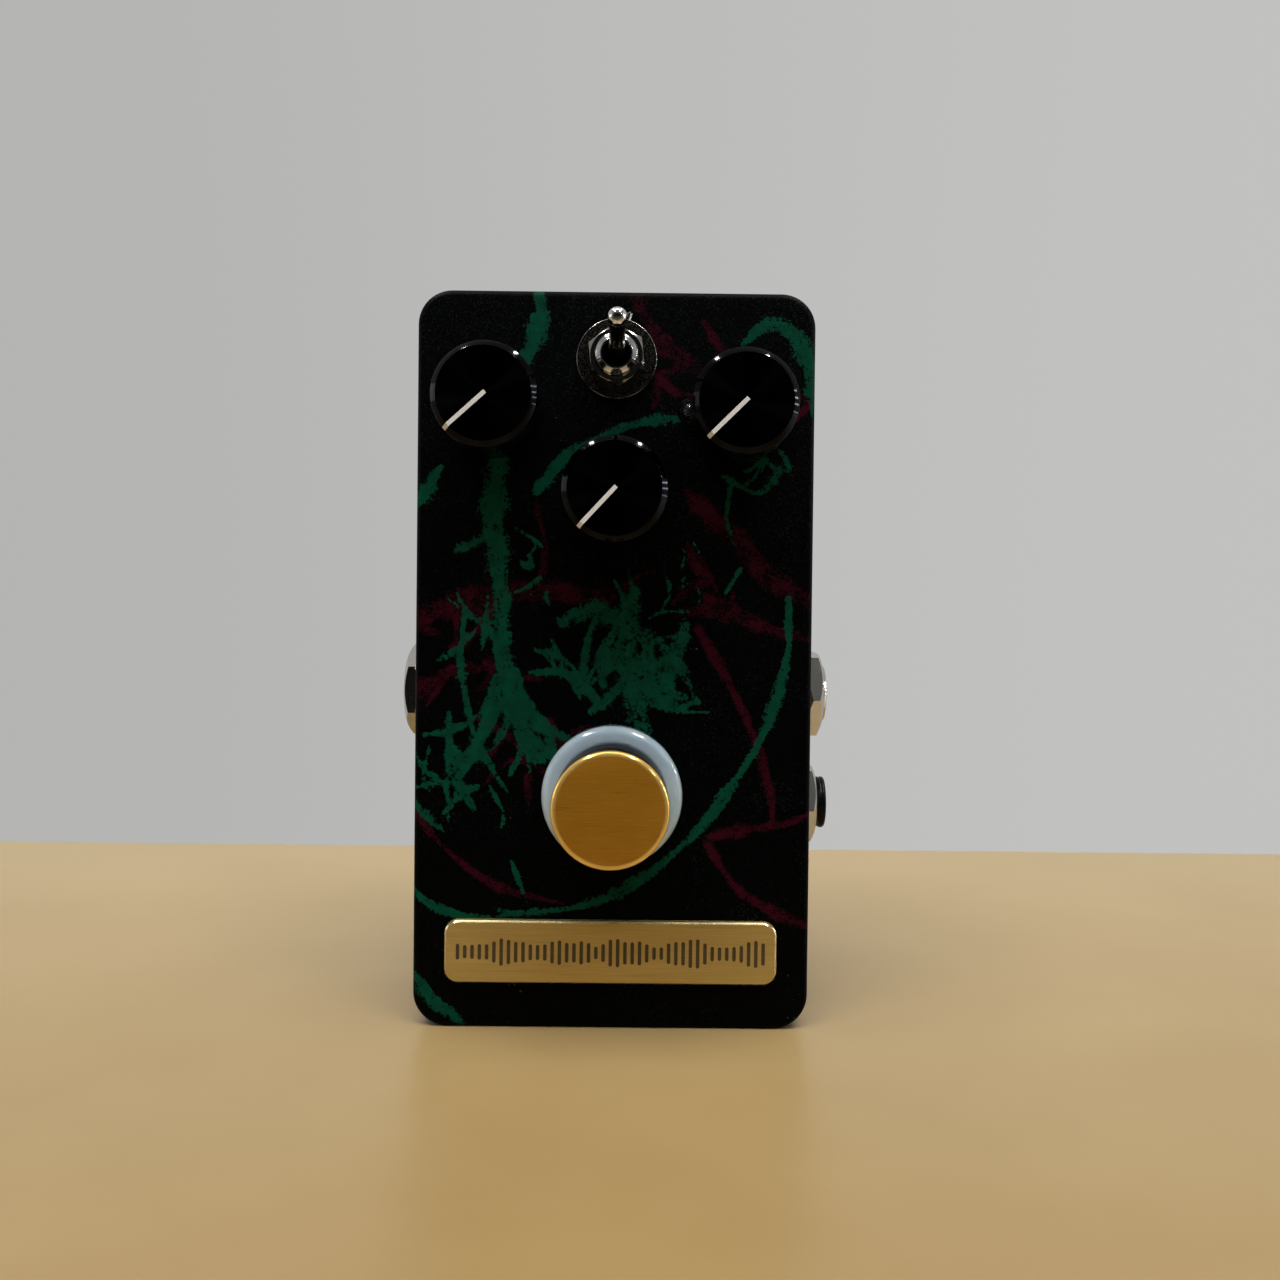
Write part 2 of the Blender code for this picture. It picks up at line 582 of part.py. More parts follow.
def build_footswitch_plunger(place):
    """Plunger with its cap and set screw, held on one axis."""
    plunger = piece("footswitch_plunger", lathe(
        [(0, -8.0), (PLUNGER_R, -8.0), (PLUNGER_R, BUTTON_LOW), (BUTTON_R, BUTTON_LOW),
         (BUTTON_R, BUTTON_TOP - 0.4), (BUTTON_R - 0.4, BUTTON_TOP), (0, BUTTON_TOP)], 20),
        CHROME, place)
    bore_r, bore_top, edge = BUTTON_R + GAP, BUTTON_TOP + GAP, 0.3 * CAP_ROUND
    cap = piece("footswitch_cap", lathe(
        [(0, CAP_TOP), (CAP_R - CAP_ROUND, CAP_TOP), (CAP_R - edge, CAP_TOP - edge),
         (CAP_R, CAP_TOP - CAP_ROUND), (CAP_R, CAP_LOW + 0.3), (CAP_R - 0.3, CAP_LOW),
         (CAP_RECESS_R, CAP_LOW), (CAP_RECESS_R, CAP_RECESS_TOP), (bore_r, CAP_RECESS_TOP),
         (bore_r, bore_top), (0, bore_top)], 32), GOLD, place, sharp_deg=30)
    screw = fit_set_screw(cap, "cut_cap_set_hole", "footswitch_cap_set_screw", place,
                          (0, -1), CAP_SCREW_H, BUTTON_R, CAP_R, CAP_SCREW_END)
    hold("footswitch_axis", place, (plunger, cap, screw))


def build_footswitch_spring(place):
    """Return spring under the plunger: a round wire along a coil."""
    turns, steps_per_turn, wire_sides = 4.5, 9, 5
    wire_r, coil_r, low, high = 0.3, 2.9, -13.4, -8.6
    count = int(turns * steps_per_turn)
    rings = []
    for i in range(count + 1):
        t = i / count
        angle = 2 * math.pi * turns * t
        ring = []
        for k in range(wire_sides):
            around = 2 * math.pi * k / wire_sides
            radius = coil_r + wire_r * math.cos(around)
            ring.append((radius * math.cos(angle), radius * math.sin(angle),
                         low + (high - low) * t + wire_r * math.sin(around)))
        rings.append(ring)
    piece("footswitch_spring", skin(rings), STEEL, place)


def build_footswitch():
    place = on_face(SWITCH_POS)
    build_footswitch_bushing(place)
    build_footswitch_body(place)
    build_footswitch_ring(place)
    build_footswitch_plunger(place)
    build_footswitch_spring(place)


# --------------------------------------------------------------- phone jacks
JACK_BORE_R, JACK_WASHER_R = 3.5, 6.9
JACK_NUT_AF, JACK_NUT_LOW, JACK_NUT_T = 12.7, 0.9, 2.2
JACK_W, JACK_D, JACK_L = 12.2, 14.0, 18.0  # block: along Z, along Y, into the box
# Tip contact, a bent strip: (height, local y) of its bore-side face.
CONTACT_PATH = [(-7.2, 6.0), (-9.0, 4.6), (-11.5, 4.6), (-15.0, 5.6), (-23.0, 5.6)]
CONTACT_W, CONTACT_T = 2.6, 0.45


def build_jack(name, side, z, bush_top, nut_turn):
    place, turn, block_end = on_side(side, z), TURN[side], INNER - JACK_L
    body = piece(name + "_jack_body", disc(JACK_BUSH_R, INNER - 2, bush_top, 20),
                 PLASTIC, place, turn)
    union(body, "add_block_" + name, prism(centred_rect(JACK_W, JACK_D), block_end, INNER))
    cut(body, "cut_jack_bore_" + name,
        disc(JACK_BORE_R, block_end - OVER, bush_top + OVER, 20))
    # window towards the base plate for the tip contact
    cut(body, "cut_window_" + name, prism(rect(-2.0, 2.0, 2.0, JACK_D / 2 + OVER),
                                          block_end - OVER, INNER - 4.0))
    washer(name + "_jack_washer", STEEL, JACK_WASHER_R, JACK_BUSH_R, WASHER_T, place, turn)
    piece(name + "_jack_nut", nut(JACK_NUT_AF, JACK_BUSH_R + GAP, JACK_NUT_LOW,
                                  JACK_NUT_LOW + JACK_NUT_T, nut_turn), CHROME, place, turn)
    strip = skin([[(x, y, height) for x, y in rect(-CONTACT_W / 2, CONTACT_W / 2,
                                                   path_y, path_y + CONTACT_T)]
                  for height, path_y in CONTACT_PATH])
    piece(name + "_jack_tip_contact", strip, COPPER, place, turn)


# ---------------------------------------------------------------- power jack
DC_BODY_R, DC_BACK, DC_TOP = 5.0, -13.5, 4.0
DC_BORE_R, DC_BORE_FLOOR, DC_PIN_R = 3.0, -8.0, 1.0
DC_NUT_AF, DC_NUT_T = 11.6, 2.0


def build_dc_jack():
    place, turn = on_side("right", DC_Z), TURN["right"]
    body = piece("dc_jack_body", lathe(
        [(0, DC_BACK), (DC_BODY_R, DC_BACK), (DC_BODY_R, INNER), (DC_BARREL_R, INNER),
         (DC_BARREL_R, DC_TOP), (DC_BORE_R, DC_TOP), (DC_BORE_R, DC_BORE_FLOOR),
         (0, DC_BORE_FLOOR)], 20), PLASTIC, place, turn)
    cut(body, "cut_pin_seat", disc(DC_PIN_R + GAP, DC_BACK - OVER, DC_BORE_FLOOR + OVER, 12))
    piece("dc_jack_pin", lathe([(0, -16.5), (DC_PIN_R, -16.5), (DC_PIN_R, 1.2),
                                (DC_PIN_R - 0.3, 1.8), (0, 1.8)], 12), CHROME, place, turn)
    piece("dc_jack_nut", nut(DC_NUT_AF, DC_BARREL_R + GAP, GAP, GAP + DC_NUT_T, 35.0),
          CHROME, place, turn)


# ------------------------------------------------------------- circuit board
def build_board():
    half, low, top, corner = 24.0, 62.0, 108.0, 8.0
    outline = [(-half, low), (half, low), (half, top - corner), (half - corner, top),
               (-half + corner, top), (-half, top - corner)]
    board = piece("circuit_board", prism(outline, BOARD_BACK, BOARD_FRONT), BOARD)
    cut(board, "cut_lug_holes", together(
        moved(disc(1.1, BOARD_BACK - OVER, BOARD_FRONT + OVER, 10), 0, TOGGLE_POS[1] + y)
        for y in TOGGLE_LUGS))


def build_op_amp():
    """Chip with two rows of four legs, behind the board."""
    front = BOARD_BACK - GAP
    chip = piece("op_amp_chip", prism(centred_rect(9.8, 6.4), front - 4.2, front - 0.8),
                 PLASTIC, on_face((0, 86.0)))
    rows = ((-3.7, -2.9), (2.9, 3.7))      # local y span of each row of legs
    union(chip, "add_chip_legs", together(
        prism(rect(x - 0.35, x + 0.35, *row), front, front - 2.2)
        for x in (-3.81, -1.27, 1.27, 3.81) for row in rows))


def build_capacitor():
    radius, front = 3.15, BOARD_BACK - GAP
    end = front - 10.5
    piece("electrolytic_capacitor", lathe(
        [(0, front), (radius, front), (radius, end + 0.4), (radius - 0.4, end), (0, end)],
        16), SLEEVE, on_face((-14.0, 72.0)))


# --------------------------------------------------------------------- wires
WIRE_R = 0.55
# name, material, (X, Y, Z) points along the wire
WIRES = [
    # from the power jack to the board
    ("power_wire", WIRE_RED, [(14.2, -1.5, 30.9), (12.8, 3.0, 27.9), (15.5, 8.6, 34.0),
                              (18.0, 9.6, 50.0), (18.0, 6.5, 61.0), (18.0, -1.2, 66.0)]),
    # from the input jack down to the foot switch
    ("input_wire", WIRE_BLACK, [(8.5, 6.4, 52.0), (5.0, 8.2, 49.0), (3.0, 8.4, 42.5),
                                (1.5, 5.2, 37.5)]),
    # from the output jack up to the board
    ("output_wire", WIRE_BLACK, [(-8.5, 6.4, 52.0), (-10.5, 8.6, 56.0), (-12.0, 6.0, 61.5),
                                 (-12.0, -1.2, 64.5)]),
]


def smooth_path(points, steps=5):
    """Catmull-Rom path through the points, with steps to each span."""
    knots = [Vector(point) for point in points]
    knots = [2 * knots[0] - knots[1]] + knots + [2 * knots[-1] - knots[-2]]
    path = []
    for a, b, c, d in zip(knots, knots[1:], knots[2:], knots[3:]):
        for k in range(steps):
            t = k / steps
            path.append(0.5 * (2 * b + (c - a) * t + (2 * a - 5 * b + 4 * c - d) * t * t
                               + (3 * b - a - 3 * c + d) * t ** 3))
    path.append(knots[-2])
    return path


def build_wire(name, mat, points):
    """Insulated wire: a round tube along a smooth path."""
    path = smooth_path(points)
    curve = bpy.data.curves.new(name, "CURVE")
    curve.dimensions = "3D"
    spline = curve.splines.new("POLY")
    spline.points.add(len(path) - 1)
    for point, co in zip(spline.points, path):
        point.co = (*(co * MM), 1)
    curve.bevel_depth = WIRE_R * MM
    curve.bevel_resolution = 1
    curve.use_fill_caps = True
    curve.materials.append(mat)
    bpy.context.scene.collection.objects.link(bpy.data.objects.new(name, curve))


# --------------------------------------------------------------------- build
for old in list(bpy.data.objects):
    bpy.data.objects.remove(old, do_unlink=True)

build_shell()
build_base_plate()
build_lid_screws()
build_rubber_feet()
build_nameplate()
build_controls()
build_toggle_switch()
build_toggle_lever()
build_lamp()
build_footswitch()
for jack_name, jack in JACKS.items():
    build_jack(jack_name, *jack)
build_dc_jack()
build_board()
build_op_amp()
build_capacitor()
for wire in WIRES:
    build_wire(*wire)
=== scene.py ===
"""Looks of a guitar effects pedal: meshes and node materials around its CAD frame.

The pedal stands on its bottom edge: X runs right, Z up, and the control face looks along -Y.
Lengths are millimetres (the scene is in metres) and angles degrees, unless noted.
"""
from itertools import product
from math import acos, atan2, cos, pi, radians, sin, sqrt, tan

import bmesh
import bpy
import numpy as np
from mathutils import Euler, Matrix, Vector
from mathutils.geometry import delaunay_2d_cdt


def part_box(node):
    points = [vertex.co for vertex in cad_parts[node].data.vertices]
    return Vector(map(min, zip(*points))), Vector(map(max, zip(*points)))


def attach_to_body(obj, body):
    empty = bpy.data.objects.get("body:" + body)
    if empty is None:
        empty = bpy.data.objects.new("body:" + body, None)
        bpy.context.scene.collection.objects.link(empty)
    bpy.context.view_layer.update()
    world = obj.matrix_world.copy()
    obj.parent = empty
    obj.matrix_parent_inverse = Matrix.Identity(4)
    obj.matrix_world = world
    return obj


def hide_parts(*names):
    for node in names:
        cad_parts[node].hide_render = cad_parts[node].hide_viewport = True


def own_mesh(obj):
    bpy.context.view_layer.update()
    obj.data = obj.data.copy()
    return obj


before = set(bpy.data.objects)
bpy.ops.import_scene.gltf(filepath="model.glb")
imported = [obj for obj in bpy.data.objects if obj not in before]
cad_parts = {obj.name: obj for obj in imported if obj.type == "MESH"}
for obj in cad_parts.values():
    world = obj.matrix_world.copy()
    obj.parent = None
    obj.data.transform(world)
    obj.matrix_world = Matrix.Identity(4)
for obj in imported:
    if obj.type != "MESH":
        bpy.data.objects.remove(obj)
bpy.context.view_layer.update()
MM = 0.001

# ------------------------------------------------------------------ sizes from the frame


def node_box(node):
    low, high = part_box(node)
    return np.array(low) / MM, np.array(high) / MM


def centre(node):
    low, high = node_box(node)
    return (low + high) / 2


SHELL_LOW, SHELL_HIGH = node_box("enclosure_shell")
FACE_Y = SHELL_LOW[1]
HALF_W = SHELL_HIGH[0]
WIDTH = 2 * HALF_W
HEIGHT = SHELL_HIGH[2] - SHELL_LOW[2]
CENTRE_Z = (SHELL_HIGH[2] + SHELL_LOW[2]) / 2
RIM_H = FACE_Y - SHELL_HIGH[1]                  # shell rim, as a height above the face
BACK_H = FACE_Y - node_box("base_plate")[1][1]  # outer face of the base plate, likewise
CORNER = 5.2
WALL = 2.2
BEHIND = -WALL - 0.3                            # where parts inside the wall begin
FACE_ROUND, RIM_ROUND = 1.0, 0.3

KNOBS = {tag: centre(tag + "_knob") for tag in ("left", "center", "right")}
POINTER_TURNS = {"left": 47.8, "center": 42.7, "right": 45.2}
TOGGLE = centre("toggle_washer")
LED = centre("led_bezel")
SWITCH = centre("footswitch_ring")
PLATE = centre("nameplate")
# wall side (+1 right, -1 left), place, turn of the nut
JACKS = {"input": (1, centre("input_jack_washer"), 36.5),
         "output": (-1, centre("output_jack_washer"), 1.8)}
DC_JACK = centre("dc_jack_pin")
SCREWS = {tag: centre("lid_screw_" + tag)
          for tag in ("bottom_left", "bottom_right", "top_left", "top_right")}


def heights(node):
    """Lower and upper ends of a node above the control face."""
    low, high = node_box(node)
    return FACE_Y - high[1], FACE_Y - low[1]


def reach(node, sign):
    """How far a node stands out from the right (+1) or left (-1) wall."""
    low, high = node_box(node)
    return (high[0] if sign > 0 else -low[0]) - HALF_W


# Placements: local z points out of the surface.


def front(x=0.0, z=0.0):
    return Matrix(((1, 0, 0, x * MM), (0, 0, -1, FACE_Y * MM), (0, 1, 0, z * MM), (0, 0, 0, 1)))


def back(x, z):
    return Matrix(((-1, 0, 0, x * MM), (0, 0, 1, (FACE_Y - BACK_H) * MM), (0, 1, 0, z * MM),
                   (0, 0, 0, 1)))


def side(sign, y, z):
    return Matrix(((0, 0, sign, sign * HALF_W * MM), (0, 1, 0, y * MM), (-sign, 0, 0, z * MM),
                   (0, 0, 0, 1)))


def raised(height):
    return Matrix.Translation((0, 0, height * MM))


def radial(matrix, height, direction):
    """Frame at a height on the axis, with local z along a sideways direction."""
    turn = Vector(direction).to_track_quat("Z", "Y").to_matrix().to_4x4()
    return matrix @ raised(height) @ turn


# ------------------------------------------------------------------ mesh tools
# A part is (vertices, faces, material slot or a list with one slot per face).


def raw(name, parts, matrix, materials=(), weld=False):
    verts, faces, slots = [], [], []
    for part_verts, part_faces, slot in parts:
        start = len(verts)
        verts.extend(map(tuple, np.asarray(part_verts, float) * MM))
        faces.extend([tuple(i + start for i in face) for face in part_faces])
        slots.extend(slot if isinstance(slot, list) else [slot] * len(part_faces))
    mesh = bpy.data.meshes.new(name)
    mesh.from_pydata(verts, [], faces)
    if materials:
        for material in materials:
            mesh.materials.append(material)
        mesh.polygons.foreach_set("material_index", np.array(slots, dtype=np.int32))
        mesh.update()
    bm = bmesh.new()
    bm.from_mesh(mesh)
    if weld:
        bmesh.ops.remove_doubles(bm, verts=bm.verts[:], dist=1e-6)
    bmesh.ops.recalc_face_normals(bm, faces=bm.faces[:])
    bm.to_mesh(mesh)
    bm.free()
    ob = bpy.data.objects.new(name, mesh)
    bpy.context.scene.collection.objects.link(ob)
    ob.matrix_world = matrix
    return ob


def smooth_shade(mesh, angle):
    mesh.shade_smooth()
    mesh.set_sharp_from_angle(angle=radians(angle))


def attach(ob, body, replaces=None):
    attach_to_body(ob, body)
    if replaces:
        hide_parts(replaces)


def make(name, parts, matrix, body, materials, replaces=None, smooth=32, weld=False):
    ob = raw(name, parts, matrix, materials, weld)
    smooth_shade(ob.data, smooth)
    bpy.context.view_layer.update()
    attach(ob, body, replaces)
    return ob


def carve(ob, cutters):
    """Subtracts the cutters from the object's mesh and deletes them."""
    for cutter in cutters:
        modifier = ob.modifiers.new("cut", "BOOLEAN")
        modifier.operation = "DIFFERENCE"
        modifier.solver = "EXACT"
        modifier.object = cutter
    bpy.context.view_layer.update()
    graph = bpy.context.evaluated_depsgraph_get()
    mesh = bpy.data.meshes.new_from_object(ob.evaluated_get(graph))
    ob.modifiers.clear()
    old = ob.data
    ob.data = mesh
    bpy.data.meshes.remove(old)
    for cutter in cutters:
        old = cutter.data
        bpy.data.objects.remove(cutter)
        bpy.data.meshes.remove(old)


def dress(ob, materials, smooth, slots=None):
    """Materials and shading of a carved object."""
    for material in materials:
        ob.data.materials.append(material)
    if slots is not None:
        ob.data.polygons.foreach_set("material_index", slots.astype(np.int32))
    smooth_shade(ob.data, smooth)
    ob.data.update()


def vectors(items, key):
    """A vector property of many mesh elements, in mm."""
    values = np.zeros(len(items) * 3)
    items.foreach_get(key, values)
    return values.reshape(-1, 3) / MM


def polar_centres(ob):
    """Distance from local z, and height, of each face centre."""
    centres = vectors(ob.data.polygons, "center")
    return np.hypot(centres[:, 0], centres[:, 1]), centres[:, 2]


def ring_quads(rings, around, closed=False):
    """Quads between successive rings of equal counts."""
    return [(i * around + k, i * around + (k + 1) % around,
             (i + 1) % rings * around + (k + 1) % around, (i + 1) % rings * around + k)
            for i in range(rings if closed else rings - 1) for k in range(around)]


def slab_faces(count):
    """Two end polygons, then the quads that join them."""
    return [tuple(range(count)), tuple(range(count, 2 * count))[::-1]] + ring_quads(2, count)


def round_corner(before, corner, after, fillet, steps):
    """Arc that rounds a profile corner, or the corner itself where it is nearly straight."""
    before, point, after = Vector(before), Vector(corner), Vector(after)
    to_before, to_after = (before - point).normalized(), (after - point).normalized()
    angle = acos(max(-1, min(1, to_before.dot(to_after))))
    if angle > pi - 0.02:
        return [corner]
    trim = min(fillet / tan(angle / 2), 0.49 * (before - point).length,
               0.49 * (after - point).length)
    radius = trim * tan(angle / 2)
    middle = point + (to_before + to_after).normalized() * (radius / sin(angle / 2))
    start, end = point + to_before * trim - middle, point + to_after * trim - middle
    sweep = start.angle(end)
    if start.x * end.y - start.y * end.x <= 0:
        sweep = -sweep
    arc = []
    for k in range(steps + 1):
        turn = sweep * k / steps
        spoke = Vector((start.x * cos(turn) - start.y * sin(turn),
                        start.x * sin(turn) + start.y * cos(turn)))
        arc.append(tuple(middle + spoke))
    return arc


def round_profile(points, closed, steps):
    """Profile with its fillets, and the material slot of the band after each point."""
    profile, slots = [], []
    for i, (radius, height, *rest) in enumerate(points):
        fillet, slot = (*rest, 0, 0)[:2]
        arc = [(radius, height)]
        if fillet > 0 and (closed or 0 < i < len(points) - 1):
            arc = round_corner(points[i - 1][:2], arc[0], points[(i + 1) % len(points)][:2],
                               fillet, steps)
        profile += arc
        slots += [rest[2] if len(rest) > 2 else slot] * (len(arc) - 1) + [slot]
    return profile, slots


def lathe(points, closed=False, around=128, steps=6, cut=None):
    """Turned part about local z.

    Each point is (radius, height, fillet, slot of the band after it, slot of the fillet),
    and the last three may be left out.  cut(theta, radius, height) gives a ring's radii.
    """
    profile, slots = round_profile(points, closed, steps)
    verts, rings = [], []
    theta = np.arange(around) * 2 * pi / around
    for radius, height in profile:
        start = len(verts)
        if radius < 1e-6:
            rings.append([start])
            verts.append((0, 0, height))
            continue
        radii = cut(theta, radius, height) if cut else radius
        verts.extend(zip(radii * np.cos(theta), radii * np.sin(theta), [height] * around))
        rings.append(range(start, start + around))
    faces, face_slots = [], []
    for i in range(len(rings) if closed else len(rings) - 1):
        lower, upper = rings[i], rings[(i + 1) % len(rings)]
        if len(lower) == len(upper) == 1:
            continue
        for k in range(around):
            j = (k + 1) % around
            if len(lower) == 1:
                faces.append((lower[0], upper[k], upper[j]))
            elif len(upper) == 1:
                faces.append((lower[k], lower[j], upper[0]))
            else:
                faces.append((lower[k], lower[j], upper[j], upper[k]))
            face_slots.append(slots[i])
    return np.array(verts), faces, face_slots


def arc(radius, height, start, sweep, steps, *rest):
    """Profile points on an arc centred on the axis."""
    angles = [radians(start + sweep * i / steps) for i in range(steps + 1)]
    return [(radius * cos(a), height + radius * sin(a), *rest) for a in angles]


def thread(radius, pitch, depth, low, high):
    """V thread as a lathe cut; it fades in and out over half a pitch."""
    def cut(theta, at_radius, height):
        phase = (height / pitch - theta / (2 * pi)) % 1.0
        fade = (np.clip((height - low) / (0.5 * pitch), 0, 1)
                * np.clip((high - height) / (0.5 * pitch), 0, 1))
        threaded = abs(at_radius - radius) < 1e-6
        return np.where(threaded, at_radius - depth * np.abs(phase * 2 - 1) * fade, at_radius)
    return cut


def thread_rows(radius, low, high, pitch, per_turn=6):
    """Profile points close enough to carry a thread."""
    count = max(2, int(round((high - low) / pitch * per_turn)))
    return [(radius, low + (high - low) * i / count) for i in range(count + 1)]


def bored_body(theta, outer, bore, low, high, top=False, bottom=False, land=0.94):
    """Bored block with an outer radius per angle.

    A chamfered end has a flat circle, land times the smallest radius, and falls away
    from it at 28 degrees."""
    edge, bore_edge = 0.05, 0.15
    flat = outer.min() * land
    slope = tan(radians(28))
    rings = [(bore, low + bore_edge), (bore + bore_edge, low)]
    if bottom:
        rings.append((flat, low))
        for part in (0.02, 0.5, 1.0):
            radius = flat + (outer - flat) * part
            rings.append((radius, low + (radius - flat) * slope))
    else:
        rings += [(outer - edge, low), (outer, low + edge)]
    if top:
        for part in (1.0, 0.5, 0.02):
            radius = flat + (outer - flat) * part
            rings.append((radius, high - (radius - flat) * slope))
        rings.append((flat, high))
    else:
        rings += [(outer, high - edge), (outer - edge, high)]
    rings += [(bore + bore_edge, high), (bore, high - bore_edge)]
    verts = np.concatenate([np.stack([r * np.cos(theta), r * np.sin(theta), h + 0 * theta], 1)
                            for r, h in rings])
    return verts, ring_quads(len(rings), len(theta), closed=True), 0


def hexagon(flats, bore, low, high, turn, bottom=False, land=0.94):
    """Hexagon nut, chamfered on top; one corner lies at the turn angle."""
    around = 144
    theta = radians(turn) + 2 * pi * np.arange(around) / around
    off = (np.degrees(theta) - turn + 30.0) % 60.0 - 30.0
    outer = flats / 2 / np.cos(np.radians(30.0 - np.abs(off)))
    return bored_body(theta, outer, bore, low, high, True, bottom, land)


def block(half_x, half_y, bore, low, high):
    """Rectangular block with a round bore on the axis."""
    corners = [atan2(b, a) for a in (-half_x, half_x) for b in (-half_y, half_y)]
    theta = np.array(sorted([2 * pi * k / 72 - pi for k in range(72)] + corners))
    outer = np.minimum(half_x / np.maximum(np.abs(np.cos(theta)), 1e-9),
                       half_y / np.maximum(np.abs(np.sin(theta)), 1e-9))
    return bored_body(theta, outer, bore, low, high)


def chamfered_box(x_range, y_range, z_range, chamfer=0.12):
    low, high = np.array([x_range, y_range, z_range], float).T
    verts, faces = [], []
    for corner in product((0, 1), repeat=3):
        corner = np.array(corner)
        sharp = np.where(corner, high, low)
        for axis in range(3):
            point = sharp + chamfer * (1 - 2 * corner)
            point[axis] = sharp[axis]
            verts.append(point)
        faces.append(range(len(verts) - 3, len(verts)))

    def index(i, j, k, axis):
        return 12 * i + 6 * j + 3 * k + axis

    loop = ((0, 0), (1, 0), (1, 1), (0, 1))
    for end in (0, 1):
        faces.append([index(end, j, k, 0) for j, k in loop])
        faces.append([index(i, end, k, 1) for i, k in loop])
        faces.append([index(i, j, end, 2) for i, j in loop])
    for p, q in product((0, 1), repeat=2):
        faces.append((index(0, p, q, 1), index(1, p, q, 1), index(1, p, q, 2), index(0, p, q, 2)))
        faces.append((index(p, 0, q, 0), index(p, 1, q, 0), index(p, 1, q, 2), index(p, 0, q, 2)))
        faces.append((index(p, q, 0, 0), index(p, q, 1, 0), index(p, q, 1, 1), index(p, q, 0, 1)))
    return np.array(verts), faces, 0


# ------------------------------------------------------------------ node tools


class Graph:
    """Adds nodes to a node tree."""

    def __init__(self, tree):
        self.tree = tree

    def node(self, kind, **props):
        node = self.tree.nodes.new(kind)
        for key, value in props.items():
            setattr(node, key, value)
        return node

    def put(self, value, socket):
        if isinstance(value, bpy.types.NodeSocket):
            self.tree.links.new(value, socket)
        else:
            socket.default_value = value

    def map(self, value, span, to=(0.0, 1.0), smooth=False):
        node = self.node("ShaderNodeMapRange",
                         interpolation_type="SMOOTHSTEP" if smooth else "LINEAR")
        for item, socket in zip((value, *span, *to), node.inputs):
            self.put(item, socket)
        return node.outputs[0]

    def split(self, vector):
        node = self.node("ShaderNodeSeparateXYZ")
        self.put(vector, node.inputs[0])
        return node.outputs


class Shader(Graph):
    """A material on one Principled node, textured in millimetres of object space."""

    def __init__(self, name, colour, roughness, metallic=0.0, **values):
        self.material = bpy.data.materials.new(name)
        self.material.use_nodes = True
        super().__init__(self.material.node_tree)
        self.bsdf = self.tree.nodes["Principled BSDF"]
        self.set(Base_Color=(*colour, 1), Roughness=roughness, Metallic=metallic)
        self.set(**values)
        coordinates = self.node("ShaderNodeTexCoord").outputs["Object"]
        scaled = self.node("ShaderNodeVectorMath", operation="SCALE")
        scaled.inputs["Scale"].default_value = 1000.0
        self.put(coordinates, scaled.inputs[0])
        self.mm = scaled.outputs[0]

    def set(self, **values):
        """Principled inputs by name, with underscores for spaces."""
        for key, value in values.items():
            self.put(value, self.bsdf.inputs[key.replace("_", " ")])

    def axis(self, index):
        return self.split(self.mm)[index]

    def noise(self, scale, detail=2.0, rough=0.5, stretch=None, vector=None):
        vector = vector or self.mm
        if stretch:
            stretched = self.node("ShaderNodeVectorMath", operation="MULTIPLY")
            self.put(vector, stretched.inputs[0])
            stretched.inputs[1].default_value = stretch
            vector = stretched.outputs[0]
        node = self.node("ShaderNodeTexNoise")
        node.inputs["Scale"].default_value = scale
        node.inputs["Detail"].default_value = detail
        node.inputs["Roughness"].default_value = rough
        self.put(vector, node.inputs["Vector"])
        return node.outputs["Fac"]

    def voronoi(self, scale, output="Distance", feature="F1"):
        node = self.node("ShaderNodeTexVoronoi", feature=feature)
        node.inputs["Scale"].default_value = scale
        self.put(self.mm, node.inputs["Vector"])
        return node.outputs[output]

    def math(self, operation, first, second=0.0, clamp=False):
        node = self.node("ShaderNodeMath", operation=operation, use_clamp=clamp)
        for value, socket in zip((first, second, 0.0), node.inputs):
            self.put(value, socket)
        return node.outputs[0]

    def add(self, first, second):
        return self.math("ADD", first, second)

    def mul(self, first, second):
        return self.math("MULTIPLY", first, second)

    def swing(self, value, gain):
        """A 0 to 1 value, centred on zero and scaled."""
        return self.mul(self.math("SUBTRACT", value, 0.5), gain)

    def blend(self, first, second, share):
        """Weighted sum; share is the weight of the first."""
        return self.add(self.mul(first, share), self.mul(second, 1 - share))

    def combine(self, *values):
        node = self.node("ShaderNodeCombineXYZ")
        for value, socket in zip(values, node.inputs):
            self.put(value, socket)
        return node.outputs[0]

    def mix(self, factor, first, second):
        node = self.node("ShaderNodeMix", data_type="RGBA")
        self.put(factor, node.inputs[0])
        for colour, socket in ((first, node.inputs[6]), (second, node.inputs[7])):
            self.put((*colour, 1) if isinstance(colour, tuple) else colour, socket)
        return node.outputs[2]

    def bump(self, height, strength, depth, normal=None):
        node = self.node("ShaderNodeBump")
        node.inputs["Strength"].default_value = strength
        node.inputs["Distance"].default_value = depth * MM
        self.put(height, node.inputs["Height"])
        if normal:
            self.put(normal, node.inputs["Normal"])
        return node.outputs[0]

    def attribute(self, name):
        """The three parts of a vector attribute."""
        node = self.node("ShaderNodeAttribute", attribute_type="GEOMETRY", attribute_name=name)
        return self.split(node.outputs["Vector"])


# ------------------------------------------------------------------ materials
MIDDLE = (0.3, 0.7)     # the part of a noise's range that most maps use


def shade(colour, factor):
    return tuple(c * factor for c in colour)


